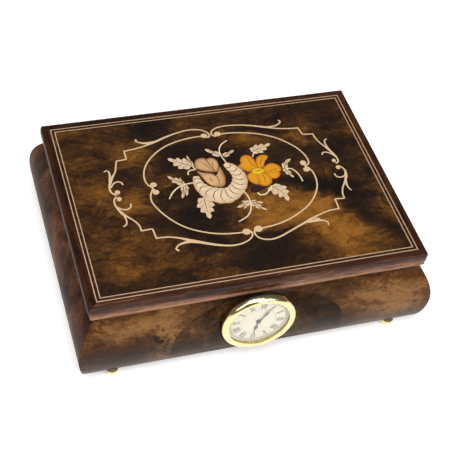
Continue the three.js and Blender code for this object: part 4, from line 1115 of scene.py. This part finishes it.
def wall_lining(name, node):
    """The cloth on the tray's four walls: a thin strip round the inside with a turned top edge."""
    low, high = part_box(node)
    thick, corner, pitch, rows = 0.9 * MM, 1.5 * MM, 4 * MM, 14
    made = bmesh.new()
    outline = []
    for cx, cy, start in (
        (high.x - corner, high.y - corner, 0),
        (low.x + corner, high.y - corner, 90),
        (low.x + corner, low.y + corner, 180),
        (high.x - corner, low.y + corner, 270),
    ):
        for k in range(5):
            a = math.radians(start + k * 22.5)
            outline.append((cx + corner * math.cos(a), cy + corner * math.sin(a)))
    ring = []
    for i, (x, y) in enumerate(outline):
        nx, ny = outline[(i + 1) % len(outline)]
        steps = max(1, int(math.hypot(nx - x, ny - y) / pitch))
        ring += [(x + (nx - x) * k / steps, y + (ny - y) * k / steps) for k in range(steps)]
    middle = Vector(((low.x + high.x) / 2, (low.y + high.y) / 2))
    half = Vector(((high.x - low.x) / 2, (high.y - low.y) / 2))
    bend_z = high.z - thick / 2
    profile = [(0, low.z), (0, bend_z)]
    for k in range(1, 6):
        a = math.pi * k / 6
        profile.append((thick / 2 * (1 - math.cos(a)), high.z - thick / 2 * (1 - math.sin(a))))
    profile += [(thick, bend_z - (bend_z - low.z) * k / rows) for k in range(rows + 1)]
    loops = []
    for inset, z in profile:
        shrink_x = (half.x - inset) / half.x
        shrink_y = (half.y - inset) / half.y
        loop = [((x - middle.x) * shrink_x, (y - middle.y) * shrink_y) for x, y in ring]
        loops.append([made.verts.new((middle.x + x, middle.y + y, z)) for x, y in loop])
    loops.append(loops[0])
    for outer, inner in zip(loops, loops[1:]):
        for i in range(len(ring)):
            j = (i + 1) % len(ring)
            made.faces.new((outer[i], outer[j], inner[j], inner[i]))
    bmesh.ops.recalc_face_normals(made, faces=made.faces)
    piece = finish_piece(name, smooth_mesh(name, made), red_velvet, "case")
    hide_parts(node)


wall_lining("tray_lining_soft", "tray_lining")


# ---- floor, light and camera

FLOOR_REACH = 60.0
WORLD_GLOW = 0.12
floor_mesh = bpy.data.meshes.new("floor")
floor_shape = bmesh.new()
bmesh.ops.create_grid(floor_shape, x_segments=8, y_segments=8, size=FLOOR_REACH)
floor_shape.to_mesh(floor_mesh)
floor_shape.free()
floor = bpy.data.objects.new("floor", floor_mesh)
bpy.context.scene.collection.objects.link(floor)


def studio_paper():
    """White paper that glows more away from the box, where the lamps don't reach."""
    surface = Surface("floor_paper", Emission_Color=(1, 1, 1, 1), Roughness=0.9)
    grain = surface.noise(surface.place, 40, 6, 0.65).outputs["Fac"]
    tone = surface.mix(surface.span(grain, 0, 1, 0.3, 0.7), colour("f4f4f4"), colour("fafafa"))
    surface.drive("Base Color", tone)
    away = surface.add("ShaderNodeVectorMath", {0: surface.place}, operation="LENGTH").outputs["Value"]
    surface.drive("Emission Strength", surface.span(away, 0.3, 1.0, 0.6, 1.8))
    return surface.material


floor_mesh.materials.append(studio_paper())

world = bpy.data.worlds.new("studio")
world.use_nodes = True
world.node_tree.nodes["Background"].inputs["Color"].default_value = (1, 1, 1, 1)
world.node_tree.nodes["Background"].inputs["Strength"].default_value = WORLD_GLOW
bpy.context.scene.world = world
bpy.context.scene.view_settings.view_transform = "Standard"

middle = (cad_low + cad_high) / 2


def softbox(name, place, width, height, power):
    """A soft rectangular lamp that faces the box."""
    lamp = bpy.data.lights.new(name, "AREA")
    lamp.shape = "RECTANGLE"
    lamp.size, lamp.size_y = width, height
    lamp.energy = power
    holder = bpy.data.objects.new(name, lamp)
    holder.location = place
    holder.rotation_euler = (middle - Vector(place)).to_track_quat("-Z", "Y").to_euler()
    bpy.context.scene.collection.objects.link(holder)


softbox("key", (0.6, -1.2, 1.0), 1.0, 0.8, 16)
softbox("left_fill", (-1.3, -0.6, 1.1), 0.8, 0.8, 6)
softbox("top", (-0.3, -0.35, 1.6), 1.4, 1.0, 24)

SENSOR_MM, LENS_MM, SHIFT = 36, 87.70, (0.014, -0.0016)
CAMERA_PLACE = (-0.1993, -0.4672, 0.5899)
AZIMUTH, ELEVATION, ROLL = (math.radians(a) for a in (-22.67, 47.68, 8.60))
outward = Vector((math.sin(AZIMUTH), -math.cos(AZIMUTH), 0))
back = outward * math.cos(ELEVATION) + Vector((0, 0, math.sin(ELEVATION)))
level = (-back).cross(Vector((0, 0, 1))).normalized()
upright = level.cross(-back)
right = level * math.cos(ROLL) + upright * math.sin(ROLL)
up = upright * math.cos(ROLL) - level * math.sin(ROLL)
lens = bpy.data.cameras.new("camera")
lens.sensor_width, lens.lens = SENSOR_MM, LENS_MM
lens.shift_x, lens.shift_y = SHIFT
camera = bpy.data.objects.new("camera", lens)
turn = Matrix((right, up, back)).transposed().to_4x4()
camera.matrix_world = Matrix.Translation(CAMERA_PLACE) @ turn
bpy.context.scene.collection.objects.link(camera)
bpy.context.scene.camera = camera
